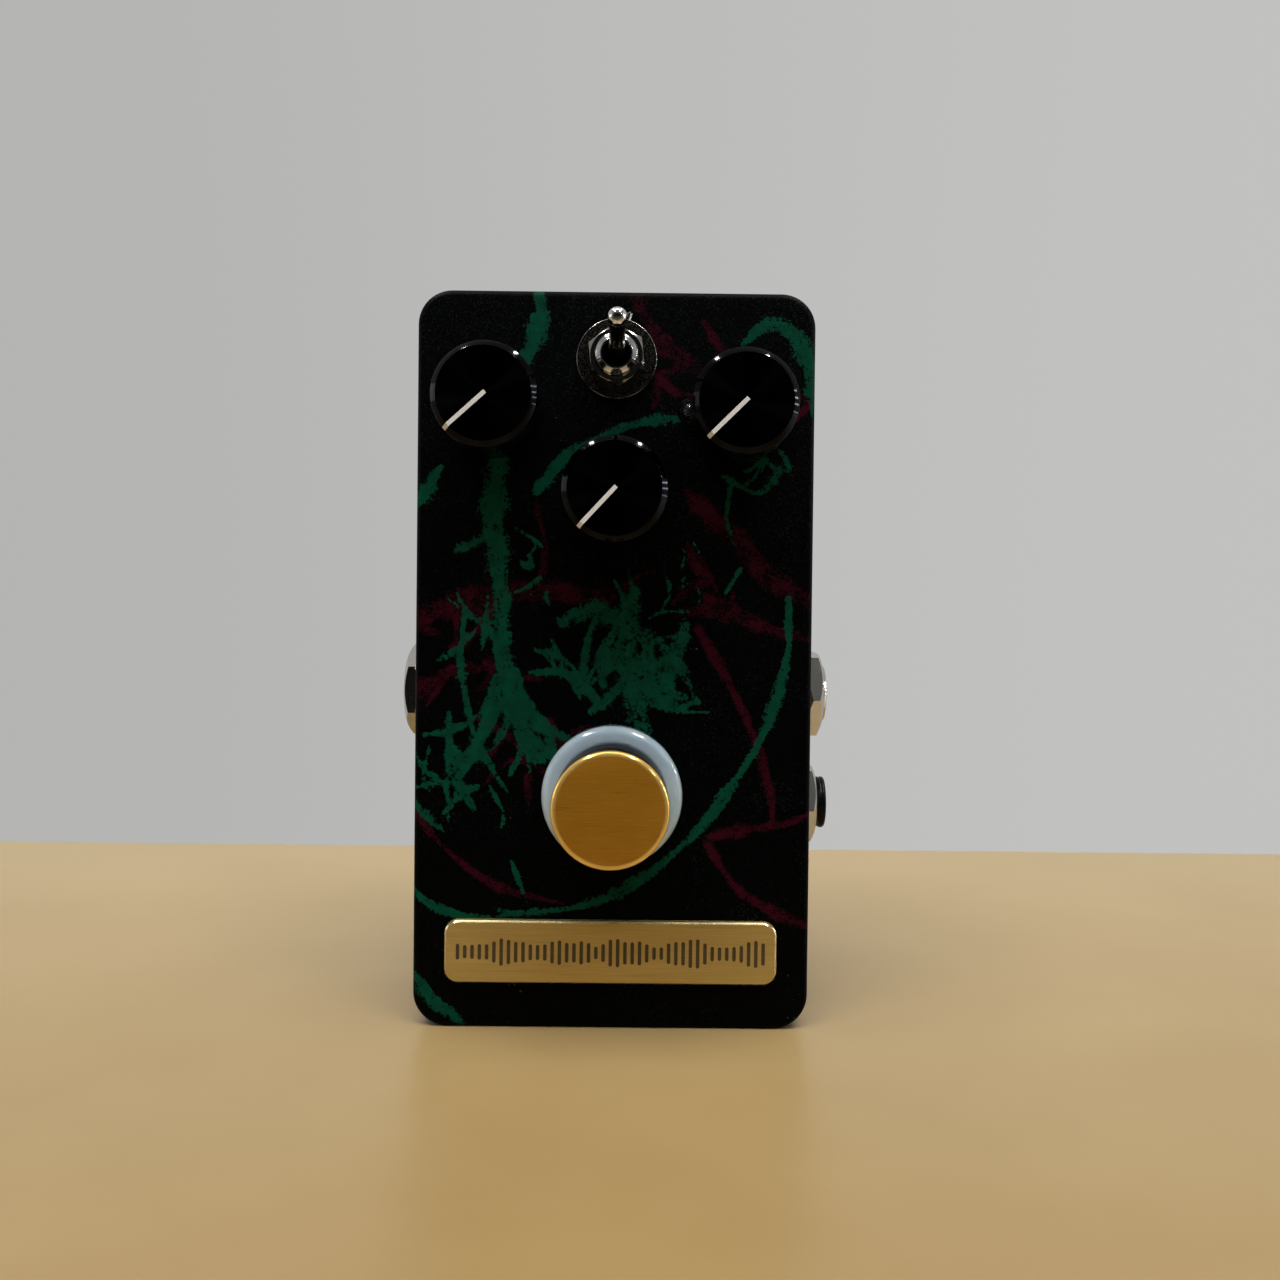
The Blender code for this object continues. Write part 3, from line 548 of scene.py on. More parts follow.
def metal(name, colour, rough, wear=0.06, scratched=True, **values):
    """Plated metal with uneven roughness (wear) and faint scratches."""
    mat = Shader(name, colour, rough, 1.0, **values)
    broad = mat.noise(0.35, detail=3, rough=0.55)
    fine = mat.noise(3.2, detail=3, rough=0.6, stretch=(1, 1, 1))
    mat.set(Roughness=mat.add(mat.map(broad, MIDDLE, to=(rough - wear * 0.5, rough + wear)),
                              mat.map(fine, MIDDLE, to=(-0.02, 0.03))),
            Base_Color=mat.mix(mat.map(broad, (0.35, 0.7)), colour, shade(colour, 0.88)))
    if scratched:
        lines = mat.noise(6.0, detail=4, rough=0.65, stretch=(0.4, 3.0, 1.0))
        mat.set(Normal=mat.bump(lines, strength=0.12, depth=0.01))
    return mat.material


def moulded(name, colour, rough, grain=2.2, strength=0.15, specular=0.5):
    """Plastic or rubber with a fine surface grain."""
    mat = Shader(name, colour, rough, Specular_IOR_Level=specular)
    texture = mat.noise(grain, detail=4, rough=0.6)
    mat.set(Normal=mat.bump(texture, strength, depth=0.03),
            Roughness=mat.map(texture, MIDDLE, to=(rough - 0.05, rough + 0.07)),
            Base_Color=mat.mix(mat.noise(0.3), shade(colour, 0.85), shade(colour, 1.15)))
    return mat.material


def textured(name, colour, rough, metallic=0.0, *, fine, span, tones, relief,
             rough_range=None, broad=None, share=None, **values):
    """One noise drives the relief, tone and roughness; a broad one may join in the last two.

    fine and broad are (scale, detail, roughness, stretch), relief is (strength, depth)."""
    mat = Shader(name, colour, rough, metallic, **values)
    texture = tone = mat.noise(*fine)
    if broad:
        tone = mat.blend(texture, mat.noise(*broad), share)
    mat.set(Base_Color=mat.mix(mat.map(tone, span), *tones),
            Normal=mat.bump(texture, *relief))
    if rough_range:
        mat.set(Roughness=mat.map(tone, MIDDLE, to=rough_range))
    return mat.material


def turned_face():
    """Lathe-turned black face: fine rings round local z and a circular highlight."""
    colour, rough = (0.006, 0.006, 0.0075), 0.22
    mat = Shader("black_anodised_face", colour, rough, 1.0, Anisotropic=0.85)
    x, y, _ = mat.split(mat.mm)
    radius = mat.math("SQRT", mat.add(mat.mul(x, x), mat.mul(y, y)))
    rings = mat.noise(9.0, detail=3, rough=0.7, vector=mat.combine(radius))
    soft = mat.noise(0.22)
    tangent = mat.node("ShaderNodeTangent", direction_type="RADIAL", axis="Z")
    span = (0.35, 0.65)
    mat.set(Normal=mat.bump(rings, strength=0.18, depth=0.012),
            Tangent=tangent.outputs[0],
            Roughness=mat.map(mat.blend(rings, soft, 0.5), span, to=(rough * 0.85, rough * 1.2)),
            Base_Color=mat.mix(mat.map(rings, span), shade(colour, 0.88), shade(colour, 1.12)))
    return mat.material


def milky_ring():
    # the emission is a painted glow that lifts the ring's shaded slopes; the ring is no lamp
    mat = Shader("milky_ring", (0.50, 0.56, 0.61), 0.10,
                 Subsurface_Weight=0.85, Subsurface_Radius=(0.9, 1.1, 1.4),
                 Subsurface_Scale=0.0040, Coat_Weight=1.0, Coat_Roughness=0.035,
                 Emission_Color=(0.38, 0.49, 0.58, 1), Emission_Strength=0.055)
    tone = mat.noise(0.25, detail=3, rough=0.6)
    grain = mat.noise(2.2, detail=3, rough=0.55)
    wave = mat.bump(mat.noise(0.75), strength=0.55, depth=0.14)
    mat.set(Base_Color=mat.mix(mat.map(tone, MIDDLE), (0.37, 0.475, 0.56), (0.44, 0.54, 0.62)),
            Normal=mat.bump(grain, strength=0.25, depth=0.03, normal=wave),
            Coat_Normal=mat.bump(grain, strength=0.30, depth=0.03, normal=wave))
    return mat.material


def clear_lens():
    mat = Shader("clear_epoxy", (0.62, 0.65, 0.66), 0.05, Transmission_Weight=0.98, IOR=1.50)
    mat.set(Roughness=mat.map(mat.noise(0.8), MIDDLE, to=(0.03, 0.09)))
    return mat.material


def solder_mask():
    mat = Shader("solder_mask", (0.01, 0.10, 0.05), 0.4)
    tracks = mat.map(mat.voronoi(0.45, feature="DISTANCE_TO_EDGE"), (0.05, 0.09))
    mat.set(Base_Color=mat.mix(tracks, (0.02, 0.17, 0.08), (0.008, 0.085, 0.04)),
            Normal=mat.bump(tracks, strength=0.3, depth=0.03))
    return mat.material


CHROME = metal("nickel_plate", (0.76, 0.75, 0.72), rough=0.09, wear=0.03)
NICKEL = metal("nickel_hardware", (0.66, 0.62, 0.55), rough=0.10, wear=0.03)
# painted shade: the lever's stem is a dark copy of the plating
STEM_PAINTED_SHADE = metal("lever_stem_painted_shade", (0.10, 0.092, 0.08), rough=0.16, wear=0.05)
DARK_STEEL = metal("dark_washer_steel", (0.008, 0.008, 0.0075), rough=0.26, wear=0.08,
                   Specular_Tint=(0.02, 0.02, 0.02, 1))
# painted highlight: the toggle washer's rim and tab carry a lighter copy of its dark metal
WASHER_RIM_PAINTED_HIGHLIGHT = metal("washer_rim_painted_highlight", (0.30, 0.285, 0.26), rough=0.22, wear=0.05)
ZINC = metal("zinc_plate", (0.56, 0.56, 0.55), rough=0.30, wear=0.1)
SPRING = metal("spring_wire", (0.45, 0.44, 0.42), rough=0.28, wear=0.05)
BRONZE = metal("spring_bronze", (0.72, 0.50, 0.28), rough=0.25)
BLACK_SIDE = metal("black_anodised_side", (0.009, 0.009, 0.010), rough=0.24, wear=0.05)
BLACK_EDGE = metal("black_anodised_edge", (0.0075, 0.0077, 0.0087), rough=0.07, wear=0.01,
                   scratched=False)
BLACK_FACE = turned_face()
GOLD_FACE = textured(
    "gold_anodised_face", (0.62, 0.28, 0.022), 0.36, 0.55,
    fine=(6.0, 4, 0.65, (0.05, 1.4, 1.0)), broad=(0.16, 3, 0.55, (0.5, 1.6, 1.0)), share=0.6,
    span=(0.36, 0.66), tones=((0.445, 0.195, 0.013), (0.59, 0.28, 0.026)),
    relief=(0.22, 0.012), rough_range=(0.26, 0.36))
# painted shade: the cap's skirt is a darker copy of the gold, for the dark band of shade and dark
# reflection below the cap's rim
GOLD_SKIRT_PAINTED_SHADE = textured(
    "gold_skirt_painted_shade", (0.30, 0.17, 0.035), 0.20, 1.0,
    fine=(1.6, 4, 0.7, (0.12, 0.12, 2.4)), span=(0.36, 0.70),
    tones=((0.20, 0.118, 0.022), (0.42, 0.265, 0.070)),
    relief=(0.12, 0.02), rough_range=(0.12, 0.30), Specular_Tint=(0.0, 0.0, 0.0, 1))
GOLD_EDGE = metal("gold_anodised_edge", (0.95, 0.62, 0.17), rough=0.14, wear=0.03,
                  scratched=False, Metallic=0.62)
PLASTIC = moulded("black_moulded_plastic", (0.012, 0.012, 0.013), rough=0.38)
SOCKET = moulded("socket_barrel_plastic", (0.003, 0.004, 0.005), rough=0.30, strength=0.12,
                 specular=0.12)
RUBBER = moulded("rubber_foot_skin", (0.022, 0.022, 0.022), rough=0.72, grain=1.6,
                 strength=0.3, specular=0.3)
POT_BLUE = moulded("pot_case_blue", (0.03, 0.13, 0.30), rough=0.45)
SLEEVE = moulded("capacitor_sleeve", (0.01, 0.02, 0.06), rough=0.3)
WIRE_RED = moulded("wire_red", (0.42, 0.012, 0.012), rough=0.42)
WIRE_BLACK = moulded("wire_black", (0.012, 0.012, 0.012), rough=0.42)
ENAMEL = moulded("engraving_enamel", (0.075, 0.045, 0.014), rough=0.5, grain=5.0, strength=0.2)
WASHER_FACE = textured(
    "washer_dark_face", (0.10, 0.10, 0.095), 0.28, 1.0, fine=(3.6, 4, 0.7), span=(0.46, 0.74),
    tones=((0.05, 0.05, 0.045), (0.26, 0.25, 0.21)), relief=(0.4, 0.05),
    rough_range=(0.18, 0.34))
POINTER = textured(
    "pointer_enamel", (0.80, 0.80, 0.76), 0.42, fine=(4.0, 3, 0.6), span=(0.35, 0.75),
    tones=((0.78, 0.80, 0.81), (0.64, 0.66, 0.67)), relief=(0.2, 0.02))
RING = milky_ring()
LENS = clear_lens()
BOARD = solder_mask()
BRASS = textured(
    "brushed_brass", (0.62, 0.48, 0.22), 0.36, 0.70,
    fine=(5.0, 5, 0.7, (0.035, 1.6, 1.0)), broad=(1.2, 3, 0.6, (0.05, 1.0, 1.0)), share=0.7,
    span=(0.32, 0.68), tones=((0.50, 0.345, 0.105), (0.66, 0.475, 0.165)),
    relief=(0.3, 0.02), rough_range=(0.30, 0.44), Anisotropic=0.5)
BRASS_EDGE = metal("brass_bevel", (0.62, 0.51, 0.27), rough=0.22, wear=0.04)

BLACK = (0.0003, 0.0004, 0.0006)
GREEN = (0.0018, 0.066, 0.037)
CRIMSON = (0.050, 0.0030, 0.0105)


def grained_black_with_painted_glints(mat, grain):
    """Black with a bluish haze towards the top, dust with painted sheen, and light grains in loose
    clusters, painted glints, larger towards the top and right.
    """
    cell = mat.voronoi(3.0)
    pick = mat.split(mat.voronoi(3.0, "Color"))
    cluster = mat.map(mat.noise(0.16, detail=3, rough=0.6), (0.35, 0.7), to=(-0.30, 0.25))
    # the painted glints grow larger towards the top and right, where the light falls
    rise = mat.add(mat.map(mat.axis(2), (20.0, 110.0), to=(-0.06, 0.20)),
                   mat.map(mat.axis(0), (-10.0, 25.0), to=(0.0, 0.14)))
    size = mat.map(mat.add(mat.add(pick[0], rise), cluster), (0.46, 1.12), to=(0.07, 0.36))
    painted_glint_speck = mat.mul(mat.math("LESS_THAN", cell, size),
                    mat.map(pick[1], (0.0, 1.0), to=(0.25, 1.0)))
    # a bluish haze towards the top: dust with painted sheen
    dust_and_sheen = mat.mul(mat.map(mat.noise(5.5, rough=0.7), (0.52, 0.68)),
                   mat.map(mat.axis(2), (35.0, 110.0), to=(0.12, 1.0)))
    base = mat.mix(mat.map(grain, (0.42, 0.75)), BLACK, (0.0011, 0.0018, 0.0017))
    base = mat.mix(mat.mul(dust_and_sheen, 0.85), base, (0.0062, 0.0076, 0.0088))
    return mat.mix(mat.mul(painted_glint_speck, 0.60), base, (0.021, 0.026, 0.028))


def brush_cover(mat, coverage, dryness, full, gain, breakup, span):
    """How far a brush colour covers: coverage broken up by (texture, swing) pairs."""
    amount = mat.mul(mat.math("MINIMUM", coverage, full), gain)
    for texture, swing in breakup:
        amount = mat.add(amount, mat.swing(texture, swing))
    return mat.map(mat.math("SUBTRACT", amount, dryness), span, smooth=True)


def stroke_noise(mat, along, across, scales, detail, rough):
    """Noise in a stroke's own coordinates."""
    vector = mat.combine(mat.mul(along, scales[0]), mat.mul(across, scales[1]))
    return mat.noise(1.0, detail, rough, vector=vector)


def red_strokes(mat, base, dryness, grain, fine):
    along, across, coverage = mat.attribute("red_uvc")
    streak = stroke_noise(mat, along, across, scales=(0.22, 1.1), detail=3, rough=0.6)
    patch = mat.noise(0.42, detail=4, rough=0.7)
    red = brush_cover(mat, coverage, dryness, full=0.6, gain=1.35, span=(-0.05, 0.42),
                      breakup=((streak, 1.3), (fine, 2.6), (grain, 2.0), (patch, 2.2)))
    tone = mat.mix(streak, CRIMSON, (0.028, 0.0024, 0.0080))
    return mat.mix(mat.mul(red, 0.80), base, tone)


def green_strokes(mat, base, dryness, fine):
    along, across, coverage = mat.attribute("green_uvc")
    streak = stroke_noise(mat, along, across, scales=(0.20, 1.6), detail=4, rough=0.65)
    ribs = stroke_noise(mat, along, across, scales=(1.7, 0.35), detail=3, rough=0.6)
    patch = mat.noise(0.62, detail=4, rough=0.72)
    crumbs = mat.noise(2.3, detail=4, rough=0.75)
    green = brush_cover(
        mat, coverage, dryness, full=0.62, gain=1.42, span=(-0.03, 0.09),
        breakup=((streak, 2.0), (ribs, 1.3), (patch, 2.2), (crumbs, 2.8), (fine, 1.0)))
    tone = mat.mix(mat.map(mat.noise(0.5, detail=3), MIDDLE), GREEN, (0.0014, 0.042, 0.024))
    return mat.mix(mat.mul(green, 0.94), base, tone), green


def droplets(mat, base, fine):
    """Scattered green, red and pale drops."""
    cell = mat.voronoi(1.1)
    pick = mat.split(mat.voronoi(1.1, "Color"))
    cluster = mat.map(mat.noise(0.11, detail=3, rough=0.6), (0.38, 0.68), to=(-0.5, 0.22))
    size = mat.map(mat.add(pick[0], cluster), (0.78, 1.2), to=(0.0, 0.24))
    drop = mat.math("LESS_THAN", mat.add(cell, mat.swing(fine, 0.12)), size)
    colour = mat.mix(mat.math("GREATER_THAN", pick[2], 0.62),
                     (0.010, 0.075, 0.048), (0.05, 0.008, 0.018))
    colour = mat.mix(mat.math("GREATER_THAN", pick[1], 0.72), colour, (0.040, 0.050, 0.048))
    return mat.mix(mat.mul(drop, 0.75), base, colour)


def paint(name, with_strokes):
    """Satin black paint with a fine grain, with or without brush strokes."""
    mat = Shader(name, BLACK, 0.42, Specular_IOR_Level=0.20)
    grain = mat.noise(3.4, detail=3, rough=0.62)
    fine = mat.noise(8.5, rough=0.6)
    base = grained_black_with_painted_glints(mat, grain)
    height = mat.blend(grain, fine, 0.7)
    rough = mat.map(grain, MIDDLE, to=(0.36, 0.50))
    if with_strokes:
        # the control face is duller than the walls
        mat.set(Specular_IOR_Level=mat.map(mat.axis(1), (FACE_Y + 0.4, FACE_Y + 3.0),
                                           to=(0.03, 0.20), smooth=True))
        green_dry, red_dry, _ = mat.attribute("dryness")
        base = red_strokes(mat, base, red_dry, grain, fine)
        base, green = green_strokes(mat, base, green_dry, fine)
        base = droplets(mat, base, fine)
        height = mat.add(height, mat.mul(green, 0.22))
        rough = mat.add(rough, mat.mul(green, 0.06))
    mat.set(Base_Color=base, Roughness=rough,
            Normal=mat.bump(height, strength=0.55, depth=0.05))
    return mat.material


PAINT_ART = paint("painted_case_art", True)
PAINT = paint("painted_case_plain", False)
BARE = metal("bare_cast_aluminium", (0.50, 0.50, 0.50), rough=0.48, wear=0.12)
# painted shade: a near-black copy of the plating for the toggle's bore and its lever's pivot ball,
# where shade falls
BORE_PAINTED_SHADE = metal("bore_wall_painted_shade", (0.010, 0.0095, 0.009), rough=0.35, wear=0.05)

# ------------------------------------------------------------------ plane outlines


def outline(width, height, radius, centre_y=0.0, inset=0.0, step=0.75, corner_steps=12):
    """Rounded rectangle, counter-clockwise, with the same count at every inset."""
    counts = [max(1, int((size - 2 * radius) / step)) for size in (width, height)]
    corners = ((1, 1), (-1, 1), (-1, -1), (1, -1))

    def at(corner, degrees):
        sign_x, sign_y = corners[corner % 4]
        return (sign_x * (width / 2 - radius) + (radius - inset) * cos(radians(degrees)),
                centre_y + sign_y * (height / 2 - radius)
                + (radius - inset) * sin(radians(degrees)))

    points = []
    for k in range(4):
        points += [at(k, 90 * k + 90 * i / corner_steps) for i in range(corner_steps + 1)]
        (x0, y0), (x1, y1) = points[-1], at(k + 1, 90 * (k + 1))
        count = counts[k % 2]
        points += [(x0 + (x1 - x0) * i / count, y0 + (y1 - y0) * i / count)
                   for i in range(1, count)]
    return np.array(points)


def case_outline(inset=0.0):
    return outline(WIDTH, HEIGHT, CORNER, CENTRE_Z, inset)


def circle(x, y, radius, around=48):
    angles = np.arange(around) * 2 * pi / around
    return np.stack([x + radius * np.cos(angles), y + radius * np.sin(angles)], 1)


def within(polygon, points):
    """Even-odd test of many points against one polygon."""
    x, y = points.T
    inside = np.zeros(len(points), bool)
    for (x0, y0), (x1, y1) in zip(polygon, np.roll(polygon, -1, axis=0)):
        if y0 != y1:
            inside ^= ((y0 > y) != (y1 > y)) & (x < (x1 - x0) * (y - y0) / (y1 - y0) + x0)
    return inside


def within_any(polygons, points):
    return np.any([within(polygon, points) for polygon in polygons], axis=0)


def sheet(rings, extra=()):
    """Points, triangles and triangle centres of a plane sheet held to closed rings."""
    points, edges = [], []
    for ring in rings:
        start, count = len(points), len(ring)
        points += [Vector((float(x), float(y))) for x, y in ring]
        edges += [(start + i, start + (i + 1) % count) for i in range(count)]
    points += [Vector((float(x), float(y))) for x, y in extra]
    verts, _, faces, _, _, _ = delaunay_2d_cdt(points, edges, [], 0, 1e-6)
    verts = np.array([tuple(v) for v in verts])
    triangles = np.array([tuple(face) for face in faces if len(face) == 3])
    centres = verts[triangles].mean(1)
    kept = within(rings[0], centres)
    return verts, triangles[kept], centres[kept]


def lift(points, height):
    return np.column_stack([points, np.full(len(points), float(height))])


def stack(rings):
    """Wall through rings of equal counts: [(points, height)]."""
    verts = np.concatenate([lift(points, height) for points, height in rings])
    return verts, ring_quads(len(rings), len(rings[0][0])), 0


def prism(ring, low, high):
    verts, faces, slot = stack([(ring, low), (ring, high)])
    count = len(ring)
    return verts, faces + [tuple(range(count))[::-1], tuple(range(count, 2 * count))], slot


def round_cutter(matrix, radius, low, high, x=0.0, y=0.0, around=48):
    return raw("cutter", [prism(circle(x, y, radius, around), low, high)], matrix)


# ------------------------------------------------------------------ strokes on the case
# ([(x, z) along the stroke], width, dryness).  Points past the edges of the control face
# carry on over the side walls.
GREEN_STROKES = [
    ([(-17.5, 88), (-18.5, 80), (-17.6, 70), (-16.8, 60), (-15.0, 52), (-11.5, 46)], 4.6, 0.30),
    ([(-16.4, 66), (-17.4, 56), (-14.6, 47), (-9.0, 41)], 2.6, 0.22),
    ([(26.6, 66), (26.4, 57), (23.2, 46), (17.0, 35.5), (8.5, 26), (-2, 19.5), (-13, 17.6),
      (-17, 17.9)], 2.1, 0.16),
    ([(-22.6, 64), (-23.2, 55), (-20.8, 44), (-16.0, 36)], 1.6, 0.20),
    ([(-25.0, 48), (-24.6, 40), (-21.0, 33.5)], 2.4, 0.36),
    ([(-34, 38), (-29, 33), (-25.5, 30)], 2.0, 0.40),
    ([(3.0, 67), (1.6, 58), (3.5, 49), (6.0, 43)], 5.0, 0.56),
    ([(-8, 62), (-3, 64), (3, 61), (9, 57), (13, 50)], 4.2, 0.62),
    ([(11, 62), (8, 54), (2, 47)], 3.4, 0.60),
    ([(-11.5, 109), (-12.8, 104), (-15.5, 99.5)], 4.4, 0.14),
    ([(-12.2, 114.5), (-11.5, 109)], 4.0, 0.2),
    ([(19.0, 104.5), (22.5, 107.3), (26.6, 106.4), (29.6, 101), (29.8, 94)], 3.2, 0.26),
    ([(-36, 76), (-29.5, 81), (-26.5, 85.5)], 2.8, 0.22),
    ([(-12, 82), (-6, 88.2), (2, 92), (9, 93.2), (13, 92)], 2.6, 0.30),
    ([(17.6, 84), (17.0, 78.5), (18.2, 74)], 1.3, 0.32),
    ([(19.2, 70.5), (16.6, 66.3)], 1.1, 0.22),
    ([(16.2, 84.5), (22, 82), (25, 86)], 2.0, 0.50),
    ([(-31.5, 22), (-27, 18.6), (-20.5, 16.6), (-14.5, 17.4)], 1.8, 0.24),
    ([(-15.4, 26), (-13.6, 21), (-12.4, 17.6)], 0.9, 0.20),
    ([(-30, 8), (-27.5, 4.4), (-23.8, 1.6), (-21, -3)], 2.4, 0.34),
    ([(-24, 73), (-20.5, 74.5), (-17.5, 76.5)], 2.2, 0.50),
    ([(-27.8, 43), (-28.8, 38), (-27.4, 35.5)], 1.0, 0.30),
    ([(-18.8, 37), (-16.6, 33), (-16.8, 30.5)], 1.2, 0.36),
    ([(34, 62), (38, 54), (37, 46)], 2.2, 0.30),
    ([(-36, 92), (-42, 84), (-46, 70)], 2.4, 0.36),
    ([(12, 118), (14, 126), (10, 134)], 2.6, 0.34),
]
RED_STROKES = [
    ([(-31, 62), (-22, 65.5), (-12, 67), (-2, 66), (6, 70)], 6.5, 0.62),
    ([(13, 61), (17.6, 53), (21.8, 44), (24.2, 35.5), (24.5, 31)], 2.6, 0.36),
    ([(15.0, 29.5), (20, 30.6), (26, 31.5), (31, 33.5)], 3.0, 0.34),
    ([(14.6, 28.5), (18.4, 22.5), (24, 18.5), (31, 15.6)], 2.8, 0.30),
    ([(7, 117), (3, 111), (8, 104), (14, 99)], 4.6, 0.60),
    ([(13, 108), (19, 100), (26, 97), (33, 97)], 3.6, 0.55),
    ([(11, 82), (17, 76), (24, 69), (34, 63)], 5.4, 0.56),
    ([(14, 66), (21, 62.5), (29, 60), (36, 60)], 3.6, 0.52),
    ([(-31, 34), (-25, 27), (-17, 21.5), (-7, 19)], 2.1, 0.42),
    ([(-31, 50), (-26, 54), (-19, 55)], 4.8, 0.64),
    ([(-12, 80), (-10.5, 72), (-12.5, 64)], 2.4, 0.62),
    ([(26, 92), (30.5, 96), (34, 92)], 2.2, 0.36),
    ([(-6, 38), (-8, 33), (-10, 29)], 2.4, 0.62),
    ([(-20.5, 47), (-15, 44), (-12, 38)], 2.2, 0.55),
    ([(-40, 44), (-37, 36), (-38, 26)], 3.2, 0.50),
    ([(36, 30), (42, 26), (47, 30)], 3.0, 0.48),
]
# Fans of short marks: x, z, count, first and last angle from +x, length range, width range,
# dryness, seed, bend (radians), scatter of the starts.
GREEN_TUFTS = [
    (-16.0, 53.0, 11, 225, 318, (9, 19), (1.0, 2.6), 0.26, 3, 0.5, 2.5),
    (-19.0, 60.0, 6, 60, 250, (4, 9), (0.8, 1.8), 0.34, 5, 0.5, 2.5),
    (-23.0, 40.0, 9, 60, 300, (4, 10), (0.8, 2.0), 0.34, 8, 0.6, 3.5),
    (-2.0, 51.0, 11, 30, 150, (6, 14), (0.9, 2.2), 0.32, 13, 0.55, 3.0),
    (7.0, 53.5, 22, 0, 360, (4, 9), (0.7, 2.4), 0.36, 21, 0.8, 4.2),
    (4.0, 63.0, 7, 20, 160, (3, 7), (0.6, 1.4), 0.48, 34, 0.5, 4.0),
    (-11.0, 70.0, 6, 60, 280, (2, 5), (0.7, 1.5), 0.42, 55, 0.5, 3.5),
    (13.0, 70.0, 5, 40, 330, (2, 4), (0.5, 1.1), 0.50, 89, 0.5, 3.0),
    (24.0, 88.0, 4, 200, 330, (4, 8), (1.2, 2.4), 0.40, 144, 0.5, 2.0),
]
RED_TUFTS = [
    (-22.0, 60.0, 7, 0, 360, (5, 10), (1.4, 3.2), 0.44, 7, 0.5, 5.0),
    (-14.0, 44.0, 8, 200, 400, (5, 10), (1.2, 2.8), 0.44, 17, 0.5, 5.0),
    (16.0, 66.0, 6, 120, 330, (5, 9), (1.6, 3.4), 0.50, 27, 0.4, 4.0),
    (4.0, 104.0, 6, 200, 380, (5, 10), (1.6, 3.4), 0.50, 37, 0.4, 4.0),
]


def tuft(x, z, count, first, last, lengths, widths, dryness, seed, bend, scatter):
    """Strokes of one fan."""
    random = np.random.default_rng(seed)
    strokes = []
    for k in range(count):
        angle = radians(first + (last - first) * (k + random.uniform(0.1, 0.9)) / count)
        length = random.uniform(*lengths)
        turn = random.uniform(-bend, bend)
        at_x = x + random.uniform(-1, 1) * scatter
        at_z = z + random.uniform(-1, 1) * scatter
        points = [(at_x, at_z)]
        for _ in range(3):
            at_x += cos(angle) * length / 3
            at_z += sin(angle) * length / 3
            angle += turn
            points.append((at_x, at_z))
        strokes.append((points, random.uniform(*widths), dryness + random.uniform(-0.12, 0.12)))
    return strokes


for strokes, tufts in ((GREEN_STROKES, GREEN_TUFTS), (RED_STROKES, RED_TUFTS)):
    for row in tufts:
        strokes += tuft(*row)


def smooth_path(stations, steps=10):
    """Catmull-Rom curve through the stations."""
    knots = [np.array(station, float) for station in stations]
    knots = [2 * knots[0] - knots[1]] + knots + [2 * knots[-1] - knots[-2]]
    path = []
    for a, b, c, d in zip(knots, knots[1:], knots[2:], knots[3:]):
        for k in range(steps):
            t = k / steps
            path.append(0.5 * (2 * b + (c - a) * t + (2 * a - 5 * b + 4 * c - d) * t * t
                               + (3 * b - a - 3 * c + d) * t ** 3))
    path.append(knots[-2])
    return np.array(path)


def stroke_fields(points, strokes):
    """Per point: along, across, coverage (1 on the middle line, 0 at the edge), dryness."""
    best = np.full(len(points), -9.0)
    along, across, dryness = np.zeros((3, len(points)))
    coverage = np.full(len(points), -2.0)
    for number, (stations, width, dry) in enumerate(strokes):
        path = smooth_path(stations)
        low, high = path.min(0) - width * 1.6, path.max(0) + width * 1.6
        near = np.where(((points >= low) & (points <= high)).all(1))[0]
        steps = path[1:] - path[:-1]
        lengths = np.linalg.norm(steps, axis=1)
        starts = np.concatenate([[0], np.cumsum(lengths)])
        nearest = np.full(len(near), 1e9)
        u, v = np.zeros((2, len(near)))
        for origin, step, length, start in zip(path, steps, lengths, starts):
            offset = points[near] - origin
            t = np.clip((offset @ step) / (length ** 2 + 1e-12), 0, 1)
            gap = np.hypot(*(offset - t[:, None] * step).T)
            flank = np.sign(step[0] * offset[:, 1] - step[1] * offset[:, 0])
            hit = gap < nearest
            nearest[hit] = gap[hit]
            u[hit] = (start + t * length)[hit]
            v[hit] = (gap * flank)[hit]
        # a brush mark starts full, then thins and frays towards its end
        part = u / starts[-1]
        half = width / 2 * (0.80 + 0.22 * np.sin(2.1 * u / max(width, 1) * 0.35 + number)
                            + 0.10 * np.sin(0.9 * u + 2 * number))
        half *= np.clip(0.62 + part * 3.0, 0, 1) * np.clip((1.0 - part) * 2.6 + 0.48, 0, 1)
        cover = 1 - nearest / np.maximum(half, 0.15)
        frayed = dry + 0.22 * part
        score = cover * 1.2 - frayed
        wins = score > best[near]
        index = near[wins]
        best[index] = score[wins]
        # offsets keep the noise of different strokes apart
        along[index] = u[wins] + 37.0 * number
        across[index] = v[wins] + 11.0 * number
        coverage[index] = cover[wins]
        dryness[index] = frayed[wins]
    return along, across, np.clip(coverage, -2, 1), dryness


def beyond_straights(points):
    """How far points lie past the centres of the corner rounding, in x and z."""
    return (np.abs(points[:, 0]) - (HALF_W - CORNER),
            np.abs(points[:, 2] - CENTRE_Z) - (HEIGHT / 2 - CORNER))


def unfold(points):
    """Face coordinates of points of the case, carrying on over the side walls."""
    x, depth, z = points[:, 0], points[:, 1] - FACE_Y, points[:, 2]
    over_x, over_z = beyond_straights(points)
    corner = (over_x > 0) & (over_z > 0)
    length = np.maximum(np.hypot(over_x, over_z), 1e-6)
    out_x = np.sign(x) * np.where(corner, over_x / length, over_x > over_z)
    out_z = np.sign(z - CENTRE_Z) * np.where(corner, over_z / length, over_x <= over_z)
    on_wall = np.maximum(over_x, over_z) > CORNER - 1.05
    run = np.where(depth < 1.0, 0.6 * depth, depth - 0.4) * on_wall
    return np.stack([x + out_x * run, z + out_z * run], 1)


# ------------------------------------------------------------------ case


